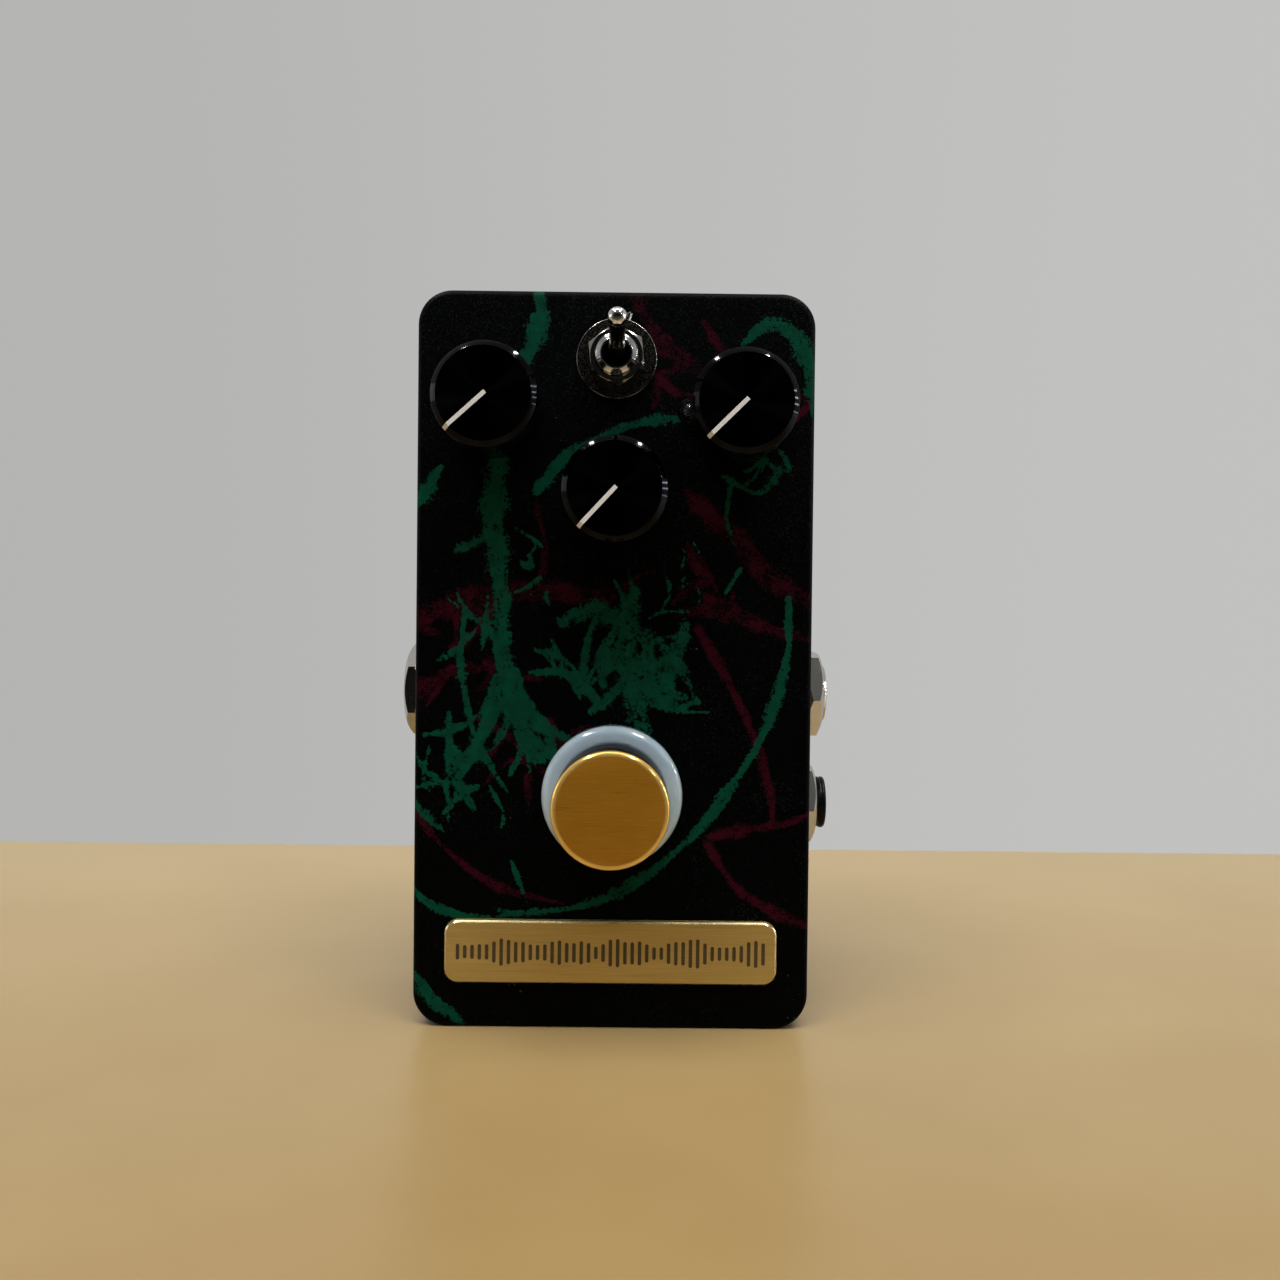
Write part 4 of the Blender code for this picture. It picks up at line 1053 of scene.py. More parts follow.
def lattice(inset, pitch):
    """Staggered rows of points over the control face."""
    low_z, span = CENTRE_Z - HEIGHT / 2 + inset, HEIGHT - 2 * inset
    count = int(span / (pitch * sqrt(3) / 2))
    rows = []
    for j in range(count + 1):
        xs = np.arange(-HALF_W + inset + (pitch / 2 if j % 2 else 0), HALF_W - inset + 1e-6, pitch)
        rows.append(np.stack([xs, np.full(len(xs), low_z + span * j / count)], 1))
    return np.concatenate(rows)


def shell_surface():
    """Closed outer surface; the face is finely divided to carry the stroke attributes."""
    points = lattice(FACE_ROUND + 0.3, 0.55)
    inner = points[within(case_outline(FACE_ROUND + 0.35), points)]
    face, face_triangles, _ = sheet([case_outline(FACE_ROUND)], inner)
    rings = []
    for k in range(9):
        angle = radians(90 * k / 8)
        rings.append((case_outline(FACE_ROUND * (1 - sin(angle))),
                      -FACE_ROUND * (1 - cos(angle))))
    depth = -RIM_H - FACE_ROUND - RIM_ROUND
    count = int(depth / 0.75)
    for k in range(1, count + 1):
        rings.append((case_outline(), -FACE_ROUND - depth * k / count))
    for k in range(1, 4):
        angle = radians(30 * k)
        rings.append((case_outline(RIM_ROUND * (1 - cos(angle))),
                      RIM_H + RIM_ROUND * (1 - sin(angle))))
    rim, rim_triangles, _ = sheet([case_outline(RIM_ROUND)])
    return [(lift(face, 0), face_triangles.tolist(), 0), stack(rings),
            (lift(rim, RIM_H), rim_triangles.tolist(), 0)]


def bake_place(ob):
    ob.data.transform(ob.matrix_world)
    ob.matrix_world = Matrix.Identity(4)


def shell_cutters():
    """Cavity with four screw posts left standing, and all the holes."""
    ring = outline(WIDTH - 2 * WALL, HEIGHT - 2 * WALL, CORNER - WALL, CENTRE_Z, 0, 4.0, 8)
    cavity = raw("cavity", [prism(ring, RIM_H - 2, -WALL)], front())
    posts = [round_cutter(front(), 3.6, RIM_H - 3, -WALL + 1, x, z, 40)
             for x, _, z in SCREWS.values()]
    for ob in [cavity] + posts:
        bake_place(ob)
    carve(cavity, posts)
    face_holes = [(spot, 3.55) for spot in KNOBS.values()]
    face_holes += [(TOGGLE, 3.25), (LED, 2.02), (SWITCH, 6.1)]
    cutters = [cavity]
    cutters += [round_cutter(front(), radius, -WALL - 1, 2, x, z)
                for (x, _, z), radius in face_holes]
    cutters += [round_cutter(front(), 1.5, RIM_H - 1, -12, x, z, 24)
                for x, _, z in SCREWS.values()]
    wall_holes = [(sign, spot, 4.85) for sign, spot, _ in JACKS.values()] + [(1, DC_JACK, 4.25)]
    cutters += [round_cutter(side(sign, spot[1], spot[2]), radius, -WALL - 1.5, 1.5)
                for sign, spot, radius in wall_holes]
    return cutters


def add_stroke_attributes(mesh):
    flat = unfold(vectors(mesh.vertices, "co"))
    dryness = np.zeros((len(flat), 3), np.float32)

    def store(name, values):
        attribute = mesh.attributes.new(name, "FLOAT_VECTOR", "POINT")
        attribute.data.foreach_set("vector", values.astype(np.float32).ravel())

    for column, (name, strokes) in enumerate((("green_uvc", GREEN_STROKES),
                                              ("red_uvc", RED_STROKES))):
        *fields, dryness[:, column] = stroke_fields(flat, strokes)
        store(name, np.stack(fields, 1))
    store("dryness", dryness)


def shell_slots(mesh):
    """0 for painted outer faces, 1 for bare ones."""
    centres = vectors(mesh.polygons, "center")
    over_x, over_z = beyond_straights(centres)
    outward = np.where((over_x > 0) & (over_z > 0),
                       np.hypot(np.maximum(over_x, 0), np.maximum(over_z, 0)),
                       np.maximum(over_x, over_z)) - CORNER
    depth = centres[:, 1] - FACE_Y
    painted = (depth < 0.02) | ((outward > -1.02) & (depth < 1.02)) | (outward > -0.35)
    return np.where(painted, 0, 1)


def case_shell():
    ob = raw("case_shell", shell_surface(), front(), weld=True)
    bake_place(ob)
    carve(ob, shell_cutters())
    add_stroke_attributes(ob.data)
    dress(ob, [PAINT_ART, BARE], 30, shell_slots(ob.data))
    attach(ob, "case", "enclosure_shell")


def case_lid():
    """Base plate with a rounded outer edge and countersinks, and the lip inside its edge."""
    low, high, edge = BACK_H, BACK_H + 3.2, 0.6
    rings = [(case_outline(0.25), high), (case_outline(0.07), high - 0.07),
             (case_outline(), high - 0.25)]
    for k in range(7):
        angle = radians(15 * k)
        rings.append((case_outline(edge * (1 - cos(angle))), low + edge * (1 - sin(angle))))
    parts = [stack(rings)]
    hole, sink = 1.8, 3.25
    for (ring, height), radius in ((rings[0], hole), (rings[-1], sink)):
        holes = [circle(x, z, radius, 40) for x, _, z in SCREWS.values()]
        verts, triangles, centres = sheet([ring] + holes)
        solid = ~within_any(holes, centres)
        parts.append((lift(verts, height), triangles[solid].tolist(), 0))
    for x, _, z in SCREWS.values():
        parts.append(stack([(circle(x, z, radius, 40), height) for radius, height in (
            (sink, low), (3.17, low + 0.1), (hole, low + 1.5), (hole, high))]))
    make("case_lid", parts, front(), "case", [PAINT], "base_plate", weld=True)

    thick, gap = 1.6, 0.3
    lip, end = HALF_W - WALL - gap, WALL + gap
    level = (high - 0.3, high + 1.6)
    bars = [chamfered_box((lip - thick, lip), (12, HEIGHT - 12), level),
            chamfered_box((-lip, -lip + thick), (12, HEIGHT - 12), level),
            chamfered_box((-18, 18), (end, end + thick), level),
            chamfered_box((-18, 18), (HEIGHT - end - thick, HEIGHT - end), level)]
    make("case_lid_lip", bars, front(), "case", [BARE])


def cross_recess():
    """Tapered cross that cuts the drive of a cross-head screw."""
    verts = []
    # height, half width of an arm, its reach
    for h, a, b in ((0.35, 0.36, 1.55 * 1.06), (-1.05, 0.36 * 0.7, 1.55 * 0.42)):
        verts += [(x, y, h) for x, y in ((a, a), (a, b), (-a, b), (-a, a), (-b, a), (-b, -a),
                                         (-a, -a), (-a, -b), (a, -b), (a, -a), (b, -a), (b, a))]
    return verts, slab_faces(12), 0


def case_screw(tag, x, z):
    matrix = back(x, z)
    radius, pitch = 1.5, 0.8
    profile = ([(0, -16.5), (radius - 0.4, -16.5)]
               + thread_rows(radius, -16.4, -3.0, pitch, per_turn=5)
               + [(radius, -1.6), (3.0, -0.16, 0.06), (2.95, -0.06, 0.05), (2.2, 0.02, 0.2),
                  (0, 0.05)])
    body = lathe(profile, around=72, steps=3, cut=thread(radius, pitch, 0.22, -16.2, -3.2))
    ob = raw("case_screw_" + tag, [body], matrix, weld=True)
    # the length of the tag only varies the turn from screw to screw
    turn = Matrix.Rotation(radians(20 + 37 * len(tag)), 4, "Z")
    carve(ob, [raw("cutter", [cross_recess()], matrix @ turn)])
    dress(ob, [ZINC], 30)
    attach(ob, "case", "lid_screw_" + tag)


def foot_pad(number):
    node = "rubber_foot_%d" % number
    x, _, z = centre(node)
    thick = node_box(node)[1][1] - (FACE_Y - BACK_H)
    profile = [(0, 0.0), (4.75, 0.0, 0.1), (4.8, 0.9, 0.5), (3.6, thick, 0.7),
               (0.8, thick, 0.3), (0.3, thick - 0.25), (0, thick - 0.25)]
    make("foot_pad_%d" % number, [lathe(profile, around=96)], back(x, z), "case", [RUBBER],
         node)


case_shell()
case_lid()
for tag, (x, _, z) in SCREWS.items():
    case_screw(tag, x, z)
for number in range(1, 5):
    foot_pad(number)


# ------------------------------------------------------------------ nameplate


def plate_bars(width):
    """Outlines of the round-ended upright bars across the plate."""
    count, half, margin = 43, 0.27, 2.1
    angles = np.radians(np.arange(0, 181, 30))
    bars = []
    for k in range(count):
        t = (k - (count - 1) / 2) / ((count - 1) / 2)
        swell = 0.30 + 0.70 * abs(sin(2.4 * pi * t + 0.7)) * (1 - 0.32 * abs(t))
        tall = 0.9 + 4.5 * swell * (0.72 + 0.28 * sin(11.3 * t + 1.0) * cos(23.0 * t))
        x, y = t * (width / 2 - margin), max(tall, 1.0) / 2 - half
        upper = np.stack([x + half * np.cos(angles), y + half * np.sin(angles)], 1)
        lower = np.stack([x - half * np.cos(angles), -y - half * np.sin(angles)], 1)
        bars.append(np.concatenate([upper, lower]))
    return bars


def nameplate():
    low, high = node_box("nameplate")
    width, _, height = high - low
    top = heights("nameplate")[1]
    foot_inset, face_inset, groove = 0.05, 0.32, 0.16

    def ring(inset):
        return outline(width, height, 2.1, 0, inset, 0.8, 8)

    wall = [(foot_inset, 0.0), (0, 0.06), (0, top - 0.34), (0.03, top - 0.29),
            (0.26, top - 0.04), (face_inset, top)]
    verts, faces, _ = stack([(ring(inset), h) for inset, h in wall])
    around = len(ring(0))
    parts = [(verts, faces, [0] * (2 * around) + [1] * (3 * around))]
    bars = plate_bars(width)
    verts, triangles, centres = sheet([ring(face_inset)] + bars)
    engraved = within_any(bars, centres)
    parts.append((lift(verts, top), triangles[~engraved].tolist(), 0))
    parts.append((lift(verts, top - groove), triangles[engraved].tolist(), 2))
    for bar in bars:
        verts, faces, _ = stack([(bar, top), (bar, top - groove)])
        parts.append((verts, faces, 2))
    verts, triangles, _ = sheet([ring(foot_inset)])
    parts.append((lift(verts, 0.0), triangles.tolist(), 0))
    make("nameplate_sheet", parts, front(PLATE[0], PLATE[2]), "case",
         [BRASS, BRASS_EDGE, ENAMEL], "nameplate", smooth=28, weld=True)


nameplate()

# ------------------------------------------------------------------ knobs
SET_SCREW_R, SET_SCREW_HOLE_R = 1.2, 1.3


def set_screw(name, length, matrix, body, node):
    """Hex-socket set screw with its outer end at local z = 0."""
    radius, pitch, around = SET_SCREW_R, 0.5, 60
    half_flats, floor_h = 0.62 * radius, -1.1
    profile = ([(0, -length), (radius - 0.35, -length), (radius - 0.1, -length + 0.15)]
               + thread_rows(radius, -length + 0.25, -0.2, pitch, per_turn=5)
               + [(radius - 0.15, 0), (half_flats * 1.2, 0)])
    verts, faces, _ = lathe(profile, around=around, steps=2,
                            cut=thread(radius, pitch, 0.14, -length + 0.3, -0.25))
    theta = np.arange(around) * 2 * pi / around
    socket = half_flats * 0.866 / np.cos(np.radians(np.abs(np.degrees(theta) % 60 - 30)))
    ring = np.stack([socket * np.cos(theta), socket * np.sin(theta)], 1)
    rim = len(verts) - around
    mouth, floor_ring, tip = rim + around, rim + 2 * around, rim + 3 * around
    verts = np.concatenate([verts, lift(ring, -0.08), lift(ring, floor_h),
                            [(0, 0, floor_h - 0.15)]])
    for k in range(around):
        j = (k + 1) % around
        faces += [(rim + k, rim + j, mouth + j, mouth + k),
                  (mouth + k, mouth + j, floor_ring + j, floor_ring + k),
                  (floor_ring + k, floor_ring + j, tip)]
    make(name, [(verts, faces, 0)], matrix, body, [DARK_STEEL], node, smooth=30)


def knob_pointer(tag, matrix, radius, chamfer, top):
    """Enamel line over the face and down the chamfer."""
    half, proud = 0.31, 0.03
    # distance from the axis, height
    path = [(-0.35, top + proud), (radius - chamfer + 0.01, top + proud),
            (radius - 0.02, top - chamfer + 0.05), (radius - 0.05, top - chamfer - 0.1),
            (radius - 0.35, top - chamfer - 0.1), (radius - chamfer - 0.1, top - 0.22),
            (-0.35, top - 0.22)]
    verts = [(sign * half, -y, h) for sign in (-1, 1) for y, h in path]
    make("knob_%s_pointer" % tag, [(verts, slab_faces(len(path)), 0)], matrix,
         tag + "_control", [POINTER])


def knob(tag, spot, degrees):
    body = tag + "_control"
    low, top = heights(tag + "_knob")
    radius, chamfer = 7.5, 0.8
    matrix = front(spot[0], spot[2])
    angle = radians(degrees)
    profile = [(0, top), (radius - chamfer, top, 0.07), (radius, top - chamfer, 0.10),
               (radius, low + 0.3, 0.25), (radius - 0.45, low, 0.1), (6.3, low, 0.1),
               (6.3, 4.5, 0.2), (3.3, 4.5), (3.3, 13.1), (0, 13.1)]
    ob = raw("knob_%s_body" % tag, [lathe(profile, around=144, steps=5)], matrix, weld=True)
    # the set screw's hole lies opposite the pointer
    hole = radial(matrix, 8.0, (sin(angle), cos(angle), 0))
    carve(ob, [round_cutter(hole, SET_SCREW_HOLE_R, 3.2, 9.0, around=40)])
    out, height = polar_centres(ob)
    face = (height > top - 0.03) & (out < radius - chamfer - 0.02)
    edge = (height > top - chamfer - 0.02) & (out > radius - chamfer - 0.1)
    dress(ob, [BLACK_FACE, BLACK_EDGE, BLACK_SIDE], 25, np.select([face, edge], [0, 1], 2))
    attach(ob, body, tag + "_knob")
    knob_pointer(tag, matrix @ Matrix.Rotation(-angle, 4, "Z"), radius, chamfer, top)
    set_screw("knob_%s_grub" % tag, 3.2, hole @ raised(6.7), body, tag + "_knob_set_screw")

    spindle = [(0, -5.7), (2.2, -5.7), (2.2, 4.1), (3.0, 4.1, 0.1), (3.0, 12.8, 0.3), (0, 12.8)]
    make("pot_%s_spindle" % tag, [lathe(spindle, around=72)], matrix, body, [ZINC],
         tag + "_pot_shaft")
    make("pot_%s_hexnut" % tag, [hexagon(10.0, 3.55, 0.62, 3.1, turn=15.0)], matrix, "case",
         [ZINC], tag + "_pot_nut")
    washer = [(3.7, 0.0, 0.05), (4.4, 0.0, 0.05), (4.4, 0.6, 0.1), (3.7, 0.6, 0.1)]
    make("pot_%s_flatwasher" % tag, [lathe(washer, True, 72, 3)], matrix, "case", [ZINC],
         tag + "_pot_washer")


for tag, spot in KNOBS.items():
    knob(tag, spot, POINTER_TURNS[tag])

# ------------------------------------------------------------------ toggle switch


def toggle_body(matrix):
    top = heights("toggle_body")[1]
    radius, pitch = 3.175, 0.635
    # the bore's wall carries the painted shade material
    profile = ([(2.3, -3.5, 0, 2), (2.3, -4.0), (radius, -4.0)]
               + thread_rows(radius, -2.0, top - 0.55, pitch)
               + [(radius - 0.02, top - 0.62, 0.1), (radius - 0.10, top - 0.50, 0.15),
                  (2.32, top, 0.25), (1.95, top - 0.16, 0.12, 2), (1.95, top - 0.75, 0.1, 2),
                  (2.3, top - 1.2, 0.2, 2)])
    bushing = lathe(profile, True, 120, cut=thread(radius, pitch, 0.20, -1.5, top - 0.9))
    make("toggle_bushing", [bushing], matrix, "case", [CHROME, CHROME, BORE_PAINTED_SHADE],
         "toggle_body")
    low, high = (corner - TOGGLE for corner in node_box("toggle_body"))
    parts = [chamfered_box((low[0], high[0]), (low[2], high[2]), (BEHIND - 9.0, BEHIND), 0.25)]
    parts += [chamfered_box((-0.6, 0.6), (y - 0.3, y + 0.3), (-WALL - 13.3, -WALL - 9.2), 0.06)
              for y in (-4.7, 0, 4.7)]
    make("toggle_casing", parts, matrix, "case", [DARK_STEEL])


def toggle_fixings(matrix):
    """Flat washer with a small tab at its edge, and the nut over it."""
    washer = lathe([(3.3, 0.0, 0.05), (6.1, 0.0, 0.08), (6.1, 0.62, 0.13, 0, 1),
                    (3.3, 0.62, 0.12)], True, 128, 4)
    verts, faces, _ = chamfered_box((5.7, 7.35), (-0.42, 0.42), (0.02, 0.60), 0.27)
    angle = radians(74.5)
    turn = np.array([(cos(angle), sin(angle), 0), (-sin(angle), cos(angle), 0), (0, 0, 1)])
    make("toggle_plain_washer", [washer, (verts @ turn, faces, 1)], matrix, "case",
         [WASHER_FACE, WASHER_RIM_PAINTED_HIGHLIGHT], "toggle_washer")
    nut = hexagon(8.0, 3.2, 0.64, heights("toggle_nut")[1], turn=36.0, land=0.985)
    make("toggle_hexnut", [nut], matrix, "case", [NICKEL], "toggle_nut",
         smooth=25)


def toggle_bat(matrix):
    """Lever on a ball, tilted at its pivot."""
    pivot = (matrix @ raised(2.0) @ Matrix.Rotation(-radians(9.15), 4, "X")
             @ Matrix.Rotation(radians(1.1), 4, "Y"))
    # painted shade: the pivot ball and the foot of the lever are near black and the stem is dark;
    # only the tip ball is plated
    profile = ([(0, -4.4, 0, 1), (0.6, -4.4, 0.1, 1), (0.8, -4.1, 0, 1), (0.8, -1.95, 0, 1)]
               + arc(2.1, 0, -68, 125, 18, 0, 1)
               + [(1.2, 1.95, 0.1, 1), (1.18, 5.6, 0, 2), (1.12, 12.0, 0, 2), (1.02, 13.5, 0.1)]
               + arc(1.38, 14.82, -43, 133, 24))
    make("toggle_bat", [lathe(profile, around=96, steps=4)], pivot, "toggle_arm",
         [CHROME, BORE_PAINTED_SHADE, STEM_PAINTED_SHADE], "toggle_lever", smooth=40)


toggle_place = front(TOGGLE[0], TOGGLE[2])
toggle_body(toggle_place)
toggle_fixings(toggle_place)
toggle_bat(toggle_place)

# ------------------------------------------------------------------ lamp


def lamp():
    matrix = front(LED[0], LED[2])
    top, radius = heights("led_lens")[1], 1.5
    dome = ([(0, -4.0), (1.72, -4.0, 0.1), (1.72, -3.0, 0.1), (radius, -3.0)]
            + arc(radius, top - radius, 0, 84, 14) + [(0, top)])
    make("lamp_dome", [lathe(dome, around=72)], matrix, "case", [LENS],
         "led_lens", smooth=40)
    cup = [(0, -3.0), (0.45, -3.0), (0.95, -1.7), (1.0, -1.75), (1.0, -3.6), (0, -3.6)]
    make("lamp_cup", [lathe(cup, around=48)], matrix, "case", [DARK_STEEL])
    rim = [(1.60, -2.0), (1.98, -2.0), (1.98, 0.02), (2.08, 0.02, 0.03), (2.08, 0.42, 0.16),
           (1.60, 0.52, 0.14, 1)]
    make("lamp_rim", [lathe(rim, True, 72, 5)], matrix, "case", [DARK_STEEL, NICKEL],
         "led_bezel")


lamp()

# ------------------------------------------------------------------ foot switch


def switch_mount(matrix):
    """Threaded bushing, the flange behind the wall, the ring and the nut."""
    radius, pitch, top = 6.0, 0.75, heights("footswitch_bushing")[1]
    profile = ([(4.0, -WALL - 1.4), (radius, -WALL - 1.4)]
               + thread_rows(radius, -2.0, top - 0.45, pitch)
               + [(radius - 0.2, top, 0.2), (4.0, top, 0.25)])
    bushing = lathe(profile, True, 128, 4, thread(radius, pitch, 0.26, -1.8, top - 0.6))
    make("switch_bushing", [bushing], matrix, "case", [ZINC],
         "footswitch_bushing")
    make("switch_flange", [block(8.6, 8.0, 6.02, -WALL - 1.5, BEHIND)], matrix, "case",
         [ZINC])
    top = heights("footswitch_ring")[1] - 0.05
    ring = [(6.15, 0.0, 0.1), (10.6, 0.0, 0.25), (10.6, top, 1.55), (8.12, top, 0.40),
            (8.12, 1.4, 0.2), (6.15, 1.4, 0.1)]
    make("switch_ring", [lathe(ring, True, 160, 12)], matrix, "case", [RING],
         "footswitch_ring", smooth=50)
    nut = hexagon(14.0, 6.05, 1.42, heights("footswitch_nut")[1], turn=10.0)
    make("switch_hexnut", [nut], matrix, "case", [CHROME],
         "footswitch_nut", smooth=25)


def switch_button(matrix):
    """Plunger, gold cap and the cap's set screw, which faces down."""
    plunger = [(0, -8.0), (3.7, -8.0, 0.2), (3.7, 8.4, 0.1), (4.95, 8.4, 0.3),
               (4.95, 15.6, 0.5), (0, 15.6)]
    make("switch_plunger", [lathe(plunger, around=96, steps=5)], matrix, "foot_button",
         [CHROME], "footswitch_plunger")
    low, top = heights("footswitch_cap")
    radius, edge = 8.35, 0.74
    cap = [(0, top), (radius, top, edge), (radius, low, 0.3), (6.6, low, 0.15),
           (6.6, 9.6, 0.2), (5.25, 9.6), (5.25, 15.9), (0, 15.9)]
    ob = raw("switch_cap", [lathe(cap, around=160, steps=8)], matrix, weld=True)
    hole = radial(matrix, 12.2, (0, -1, 0))
    carve(ob, [round_cutter(hole, SET_SCREW_HOLE_R, 5.2, 9.5, around=40)])
    out, height = polar_centres(ob)
    slots = np.select([(height > top - 0.005) & (out < 7.64), height > top - edge], [0, 1], 2)
    dress(ob, [GOLD_FACE, GOLD_EDGE, GOLD_SKIRT_PAINTED_SHADE], 30, slots)
    attach(ob, "foot_button", "footswitch_cap")
    set_screw("switch_cap_grub", 2.7, hole @ raised(8.05), "foot_button",
              "footswitch_cap_set_screw")


def return_spring(matrix):
    """Compression spring with closed end coils."""
    wire, radius, sides, per_turn = 0.3, 2.9, 12, 36
    low, high = heights("footswitch_spring")
    low, high = low + wire, high - wire
    end_rise, turns = 0.62, 4.5
    rise = (high - low - 2 * end_rise) / (turns - 2)
    verts, count = [], int(turns * per_turn)
    for i in range(count + 1):
        turn = i / per_turn
        angle = 2 * pi * turn
        height = (low + end_rise * min(turn, 1) + rise * min(max(turn - 1, 0), turns - 2)
                  + end_rise * max(turn - turns + 1, 0))
        for k in range(sides):
            around = 2 * pi * k / sides
            out = radius + wire * cos(around)
            verts.append((out * cos(angle), out * sin(angle), height + wire * sin(around)))
    faces = ring_quads(count + 1, sides)
    faces += [tuple(range(sides)), tuple(range(count * sides, (count + 1) * sides))]
    ob = make("switch_coil_spring", [(verts, faces, 0)], matrix, "case", [SPRING],
              "footswitch_spring", smooth=50)
    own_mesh(ob)


switch_place = front(SWITCH[0], SWITCH[2])
switch_mount(switch_place)
switch_button(switch_place)
return_spring(switch_place)

# ------------------------------------------------------------------ sockets


def jack(tag, sign, spot, nut_turn):
    matrix = side(sign, spot[1], spot[2])
    out = reach(tag + "_jack_body", sign)
    radius, bore, pitch = 4.76, 3.5, 0.79
    profile = ([(bore, -4.0), (radius, -4.0)] + thread_rows(radius, -1.8, out - 0.45, pitch)
               + [(radius - 0.3, out, 0.25), (bore, out, 0.35)])
    bushing = lathe(profile, True, 120, 5, thread(radius, pitch, 0.26, -1.6, out - 0.6))
    make("jack_%s_bushing" % tag, [bushing], matrix, "case", [NICKEL],
         tag + "_jack_body")
    make("jack_%s_housing" % tag, [block(6.1, 7.0, bore, BEHIND - 18.0, BEHIND)], matrix,
         "case", [PLASTIC])
    nut = hexagon(12.7, 4.8, 0.62, reach(tag + "_jack_nut", sign), nut_turn, bottom=True)
    make("jack_%s_hexnut" % tag, [nut], matrix, "case", [NICKEL],
         tag + "_jack_nut", smooth=25)
    washer = [(5.0, 0.0, 0.05), (6.9, 0.0, 0.08), (6.9, 0.6, 0.14), (5.0, 0.6, 0.1)]
    make("jack_%s_washer" % tag, [lathe(washer, True, 96, 4)], matrix, "case", [ZINC],
         tag + "_jack_washer")


def dc_socket():
    matrix = side(1, DC_JACK[1], DC_JACK[2])
    out = reach("dc_jack_body", 1)
    radius, pitch = 4.15, 0.75
    profile = ([(0, -13.5), (5.0, -13.5, 0.2), (5.0, -2.5), (radius, -2.5)]
               + thread_rows(radius, -1.5, out - 0.3, pitch)
               + [(radius - 0.15, out, 0.15), (3.0, out, 0.25), (3.0, -8.0), (0, -8.0)])
    barrel = lathe(profile, False, 120, 4, thread(radius, pitch, 0.24, -1.3, out - 0.5))
    make("dc_socket_barrel", [barrel], matrix, "case", [SOCKET],
         "dc_jack_body")
    tip = reach("dc_jack_pin", 1)
    pin = [(0, -16.5), (1.0, -16.5), (1.0, tip, 0.45), (0.25, tip, 0.1), (0.25, tip - 2.5),
           (0, tip - 2.5)]
    make("dc_socket_pin", [lathe(pin, around=48)], matrix, "case", [CHROME],
         "dc_jack_pin")
    nut = hexagon(11.6, 4.2, 0.0, reach("dc_jack_nut", 1), turn=35.0)
    make("dc_socket_hexnut", [nut], matrix, "case", [NICKEL],
         "dc_jack_nut", smooth=25)


for tag, (sign, spot, nut_turn) in JACKS.items():
    jack(tag, sign, spot, nut_turn)
dc_socket()

# Inside the case the CAD shapes stay, with new materials.
INSIDE = {
    "circuit_board": BOARD, "op_amp_chip": PLASTIC, "electrolytic_capacitor": SLEEVE,
    "power_wire": WIRE_RED, "input_wire": WIRE_BLACK, "output_wire": WIRE_BLACK,
    "input_jack_tip_contact": BRONZE, "output_jack_tip_contact": BRONZE,
    "footswitch_body": PLASTIC, "left_pot_body": POT_BLUE, "center_pot_body": POT_BLUE,
    "right_pot_body": POT_BLUE,
}
for name, material in INSIDE.items():
    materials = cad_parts[name].data.materials
    materials.clear()
    materials.append(material)

# ------------------------------------------------------------------ stage and light
scene = bpy.context.scene


def floor():
    mat = Shader("pale_floor", (0.40, 0.27, 0.11), 0.34)
    cloud = mat.map(mat.noise(0.02, detail=3, rough=0.6), MIDDLE, to=(-0.12, 0.12))
    # painted reflection: in reflections the floor is deeper in colour, and a painted shade darkens
    # it in front of the pedal
    y = mat.axis(1)
    near = mat.map(y, (-170.0, -45.0), to=(0.06, 1.0), smooth=True)
    painted_reflection = mat.mix(near, (0.012, 0.009, 0.005), (0.36, 0.245, 0.095))
    # painted shade: seen directly, the floor is darker and deeper in colour towards the front and
    # paler towards the back, with random clouds
    tone = mat.math("ADD", mat.map(y, (-120.0, 120.0)), cloud, clamp=True)
    direct = mat.mix(tone, (0.375, 0.245, 0.093), (0.525, 0.380, 0.178))
    glossy = mat.node("ShaderNodeLightPath").outputs["Is Glossy Ray"]
    mat.set(Base_Color=mat.mix(glossy, direct, painted_reflection))
    # metres
    half, near_y, far_y, level = 1.6, -1.2, 0.1377, -1e-5
    mesh = bpy.data.meshes.new("floor")
    mesh.from_pydata([(-half, near_y, level), (half, near_y, level), (half, far_y, level),
                      (-half, far_y, level)], [], [(0, 1, 2, 3)])
    mesh.materials.append(mat.material)
    ob = bpy.data.objects.new("floor", mesh)
    scene.collection.objects.link(ob)


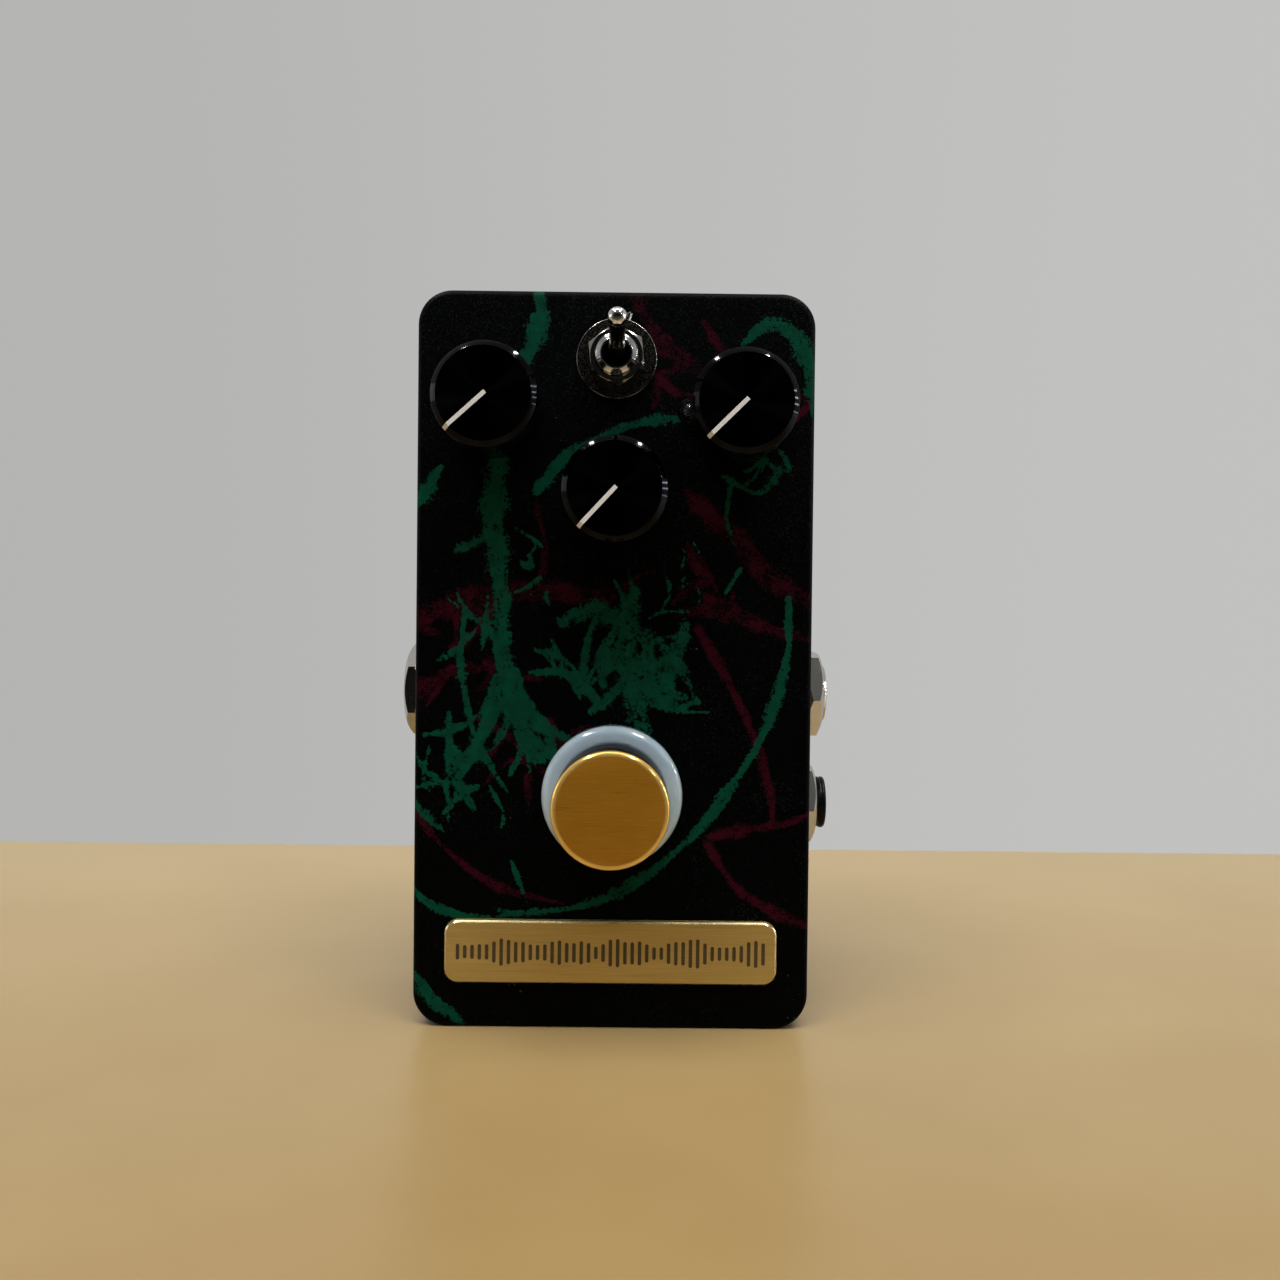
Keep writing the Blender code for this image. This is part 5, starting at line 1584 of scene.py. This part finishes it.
def studio_world():
    """A pale backdrop for the camera, and a room for everything else."""
    world = bpy.data.worlds.new("studio")
    scene.world = world
    world.use_nodes = True
    graph = Graph(world.node_tree)
    graph.tree.nodes.clear()

    def joined(operation, first, second):
        node = graph.node("ShaderNodeMath", operation=operation)
        graph.put(first, node.inputs[0])
        graph.put(second, node.inputs[1])
        return node.outputs[0]

    def background(colour, strength):
        node = graph.node("ShaderNodeBackground")
        graph.put((*colour, 1), node.inputs[0])
        graph.put(strength, node.inputs[1])
        return node.outputs[0]

    x, y, z = graph.split(graph.node("ShaderNodeTexCoord").outputs["Generated"])
    # walls darker in front of the pedal than behind it, giving way to the ceiling
    rising = (0.40, 0.85)
    up = graph.map(z, rising, smooth=True)
    not_up = graph.map(z, rising, to=(1.0, 0.0), smooth=True)
    wall = graph.map(y, (-0.80, -0.08), to=(0.007, 0.46), smooth=True)
    ceiling = graph.map(y, (-0.2, 0.6), to=(0.17, 0.50), smooth=True)
    strength = joined("ADD", joined("MULTIPLY", wall, not_up), joined("MULTIPLY", up, ceiling))
    room = background((0.97, 0.985, 1.0), strength)
    seen = background((1.0, 1.0, 0.985),
                      graph.map(x, (-0.55, 0.45), to=(0.455, 0.535), smooth=True))
    pick = graph.node("ShaderNodeMixShader")
    camera_ray = graph.node("ShaderNodeLightPath").outputs["Is Camera Ray"]
    for value, socket in zip((camera_ray, room, seen), pick.inputs):
        graph.put(value, socket)
    graph.put(pick.outputs[0], graph.node("ShaderNodeOutputWorld").inputs[0])


floor()
studio_world()

AIM = Vector((0, FACE_Y * MM, 0.06))    # metres


def area_light(name, direction, distance, size, watts, colour, reflected=True):
    """Rectangle aimed at the pedal (metres), for reflections only or for all but them."""
    light = bpy.data.lights.new(name, "AREA")
    light.shape = "RECTANGLE"
    light.size, light.size_y = size
    light.energy = watts
    light.color = colour
    ob = bpy.data.objects.new(name, light)
    direction = Vector(direction).normalized()
    ob.location = AIM + direction * distance
    ob.rotation_euler = direction.to_track_quat("Z", "Y").to_euler()
    ob.visible_camera = False
    if reflected:
        ob.visible_diffuse = False
    else:
        ob.visible_glossy = False
    scene.collection.objects.link(ob)


# direction y, size, watts
CEILING_PANELS = ((0.12, 0.070, 6.0), (-0.46, 0.13, 9.0))
# direction z, watts
BLIND_SLATS = ((-0.02, 0.35), (0.12, 0.75), (0.235, 0.95), (0.37, 0.75))

for tag, x in (("left", -0.42), ("right", 0.42)):
    for k, (y, size, watts) in enumerate(CEILING_PANELS):
        area_light("ceiling_%s_%d" % (tag, k), (x, y, 0.89), 1.4, (size, size * 1.2), watts,
                   (1.0, 0.98, 0.95))
for k, (z, watts) in enumerate(BLIND_SLATS):
    area_light("blind_%d" % k, (0.955, 0.0, z), 1.2, (0.34, 0.024), watts, (0.93, 0.97, 1.0))
area_light("window_glint", (0.66, -0.59, 0.46), distance=1.3, size=(0.05, 0.13), watts=1.2,
           colour=(0.95, 0.98, 1.0))
area_light("pale_wall_left", (-0.97, -0.02, 0.20), distance=1.4, size=(0.85, 0.42), watts=1.5,
           colour=(0.97, 0.99, 1.0))
area_light("ceiling_glow", (0.0, -0.10, 0.99), distance=1.4, size=(1.5, 0.38), watts=7.5,
           colour=(1.0, 0.99, 0.97))
area_light("soft_top", (0.0, -0.40, 0.92), distance=1.6, size=(1.7, 1.1), watts=34.0,
           colour=(1.0, 0.985, 0.955), reflected=False)


def add_camera():
    data = bpy.data.cameras.new("camera")
    data.lens = 35.325
    data.sensor_width = 36.0
    data.clip_start, data.clip_end = 0.01, 20
    camera = bpy.data.objects.new("camera", data)
    scene.collection.objects.link(camera)
    pitch, roll, yaw = radians(-0.859), radians(-0.630), radians(-0.289)
    turn = Euler((pitch, roll, yaw), "YXZ").to_matrix()
    look_along_y = Matrix(((1, 0, 0), (0, 0, -1), (0, 1, 0)))
    place = Matrix.Translation((3.02 * MM, -206.78 * MM, 62.35 * MM))
    camera.matrix_world = place @ (turn @ look_along_y).to_4x4()
    scene.camera = camera


add_camera()
scene.view_settings.view_transform = "Standard"
scene.view_settings.look = "None"
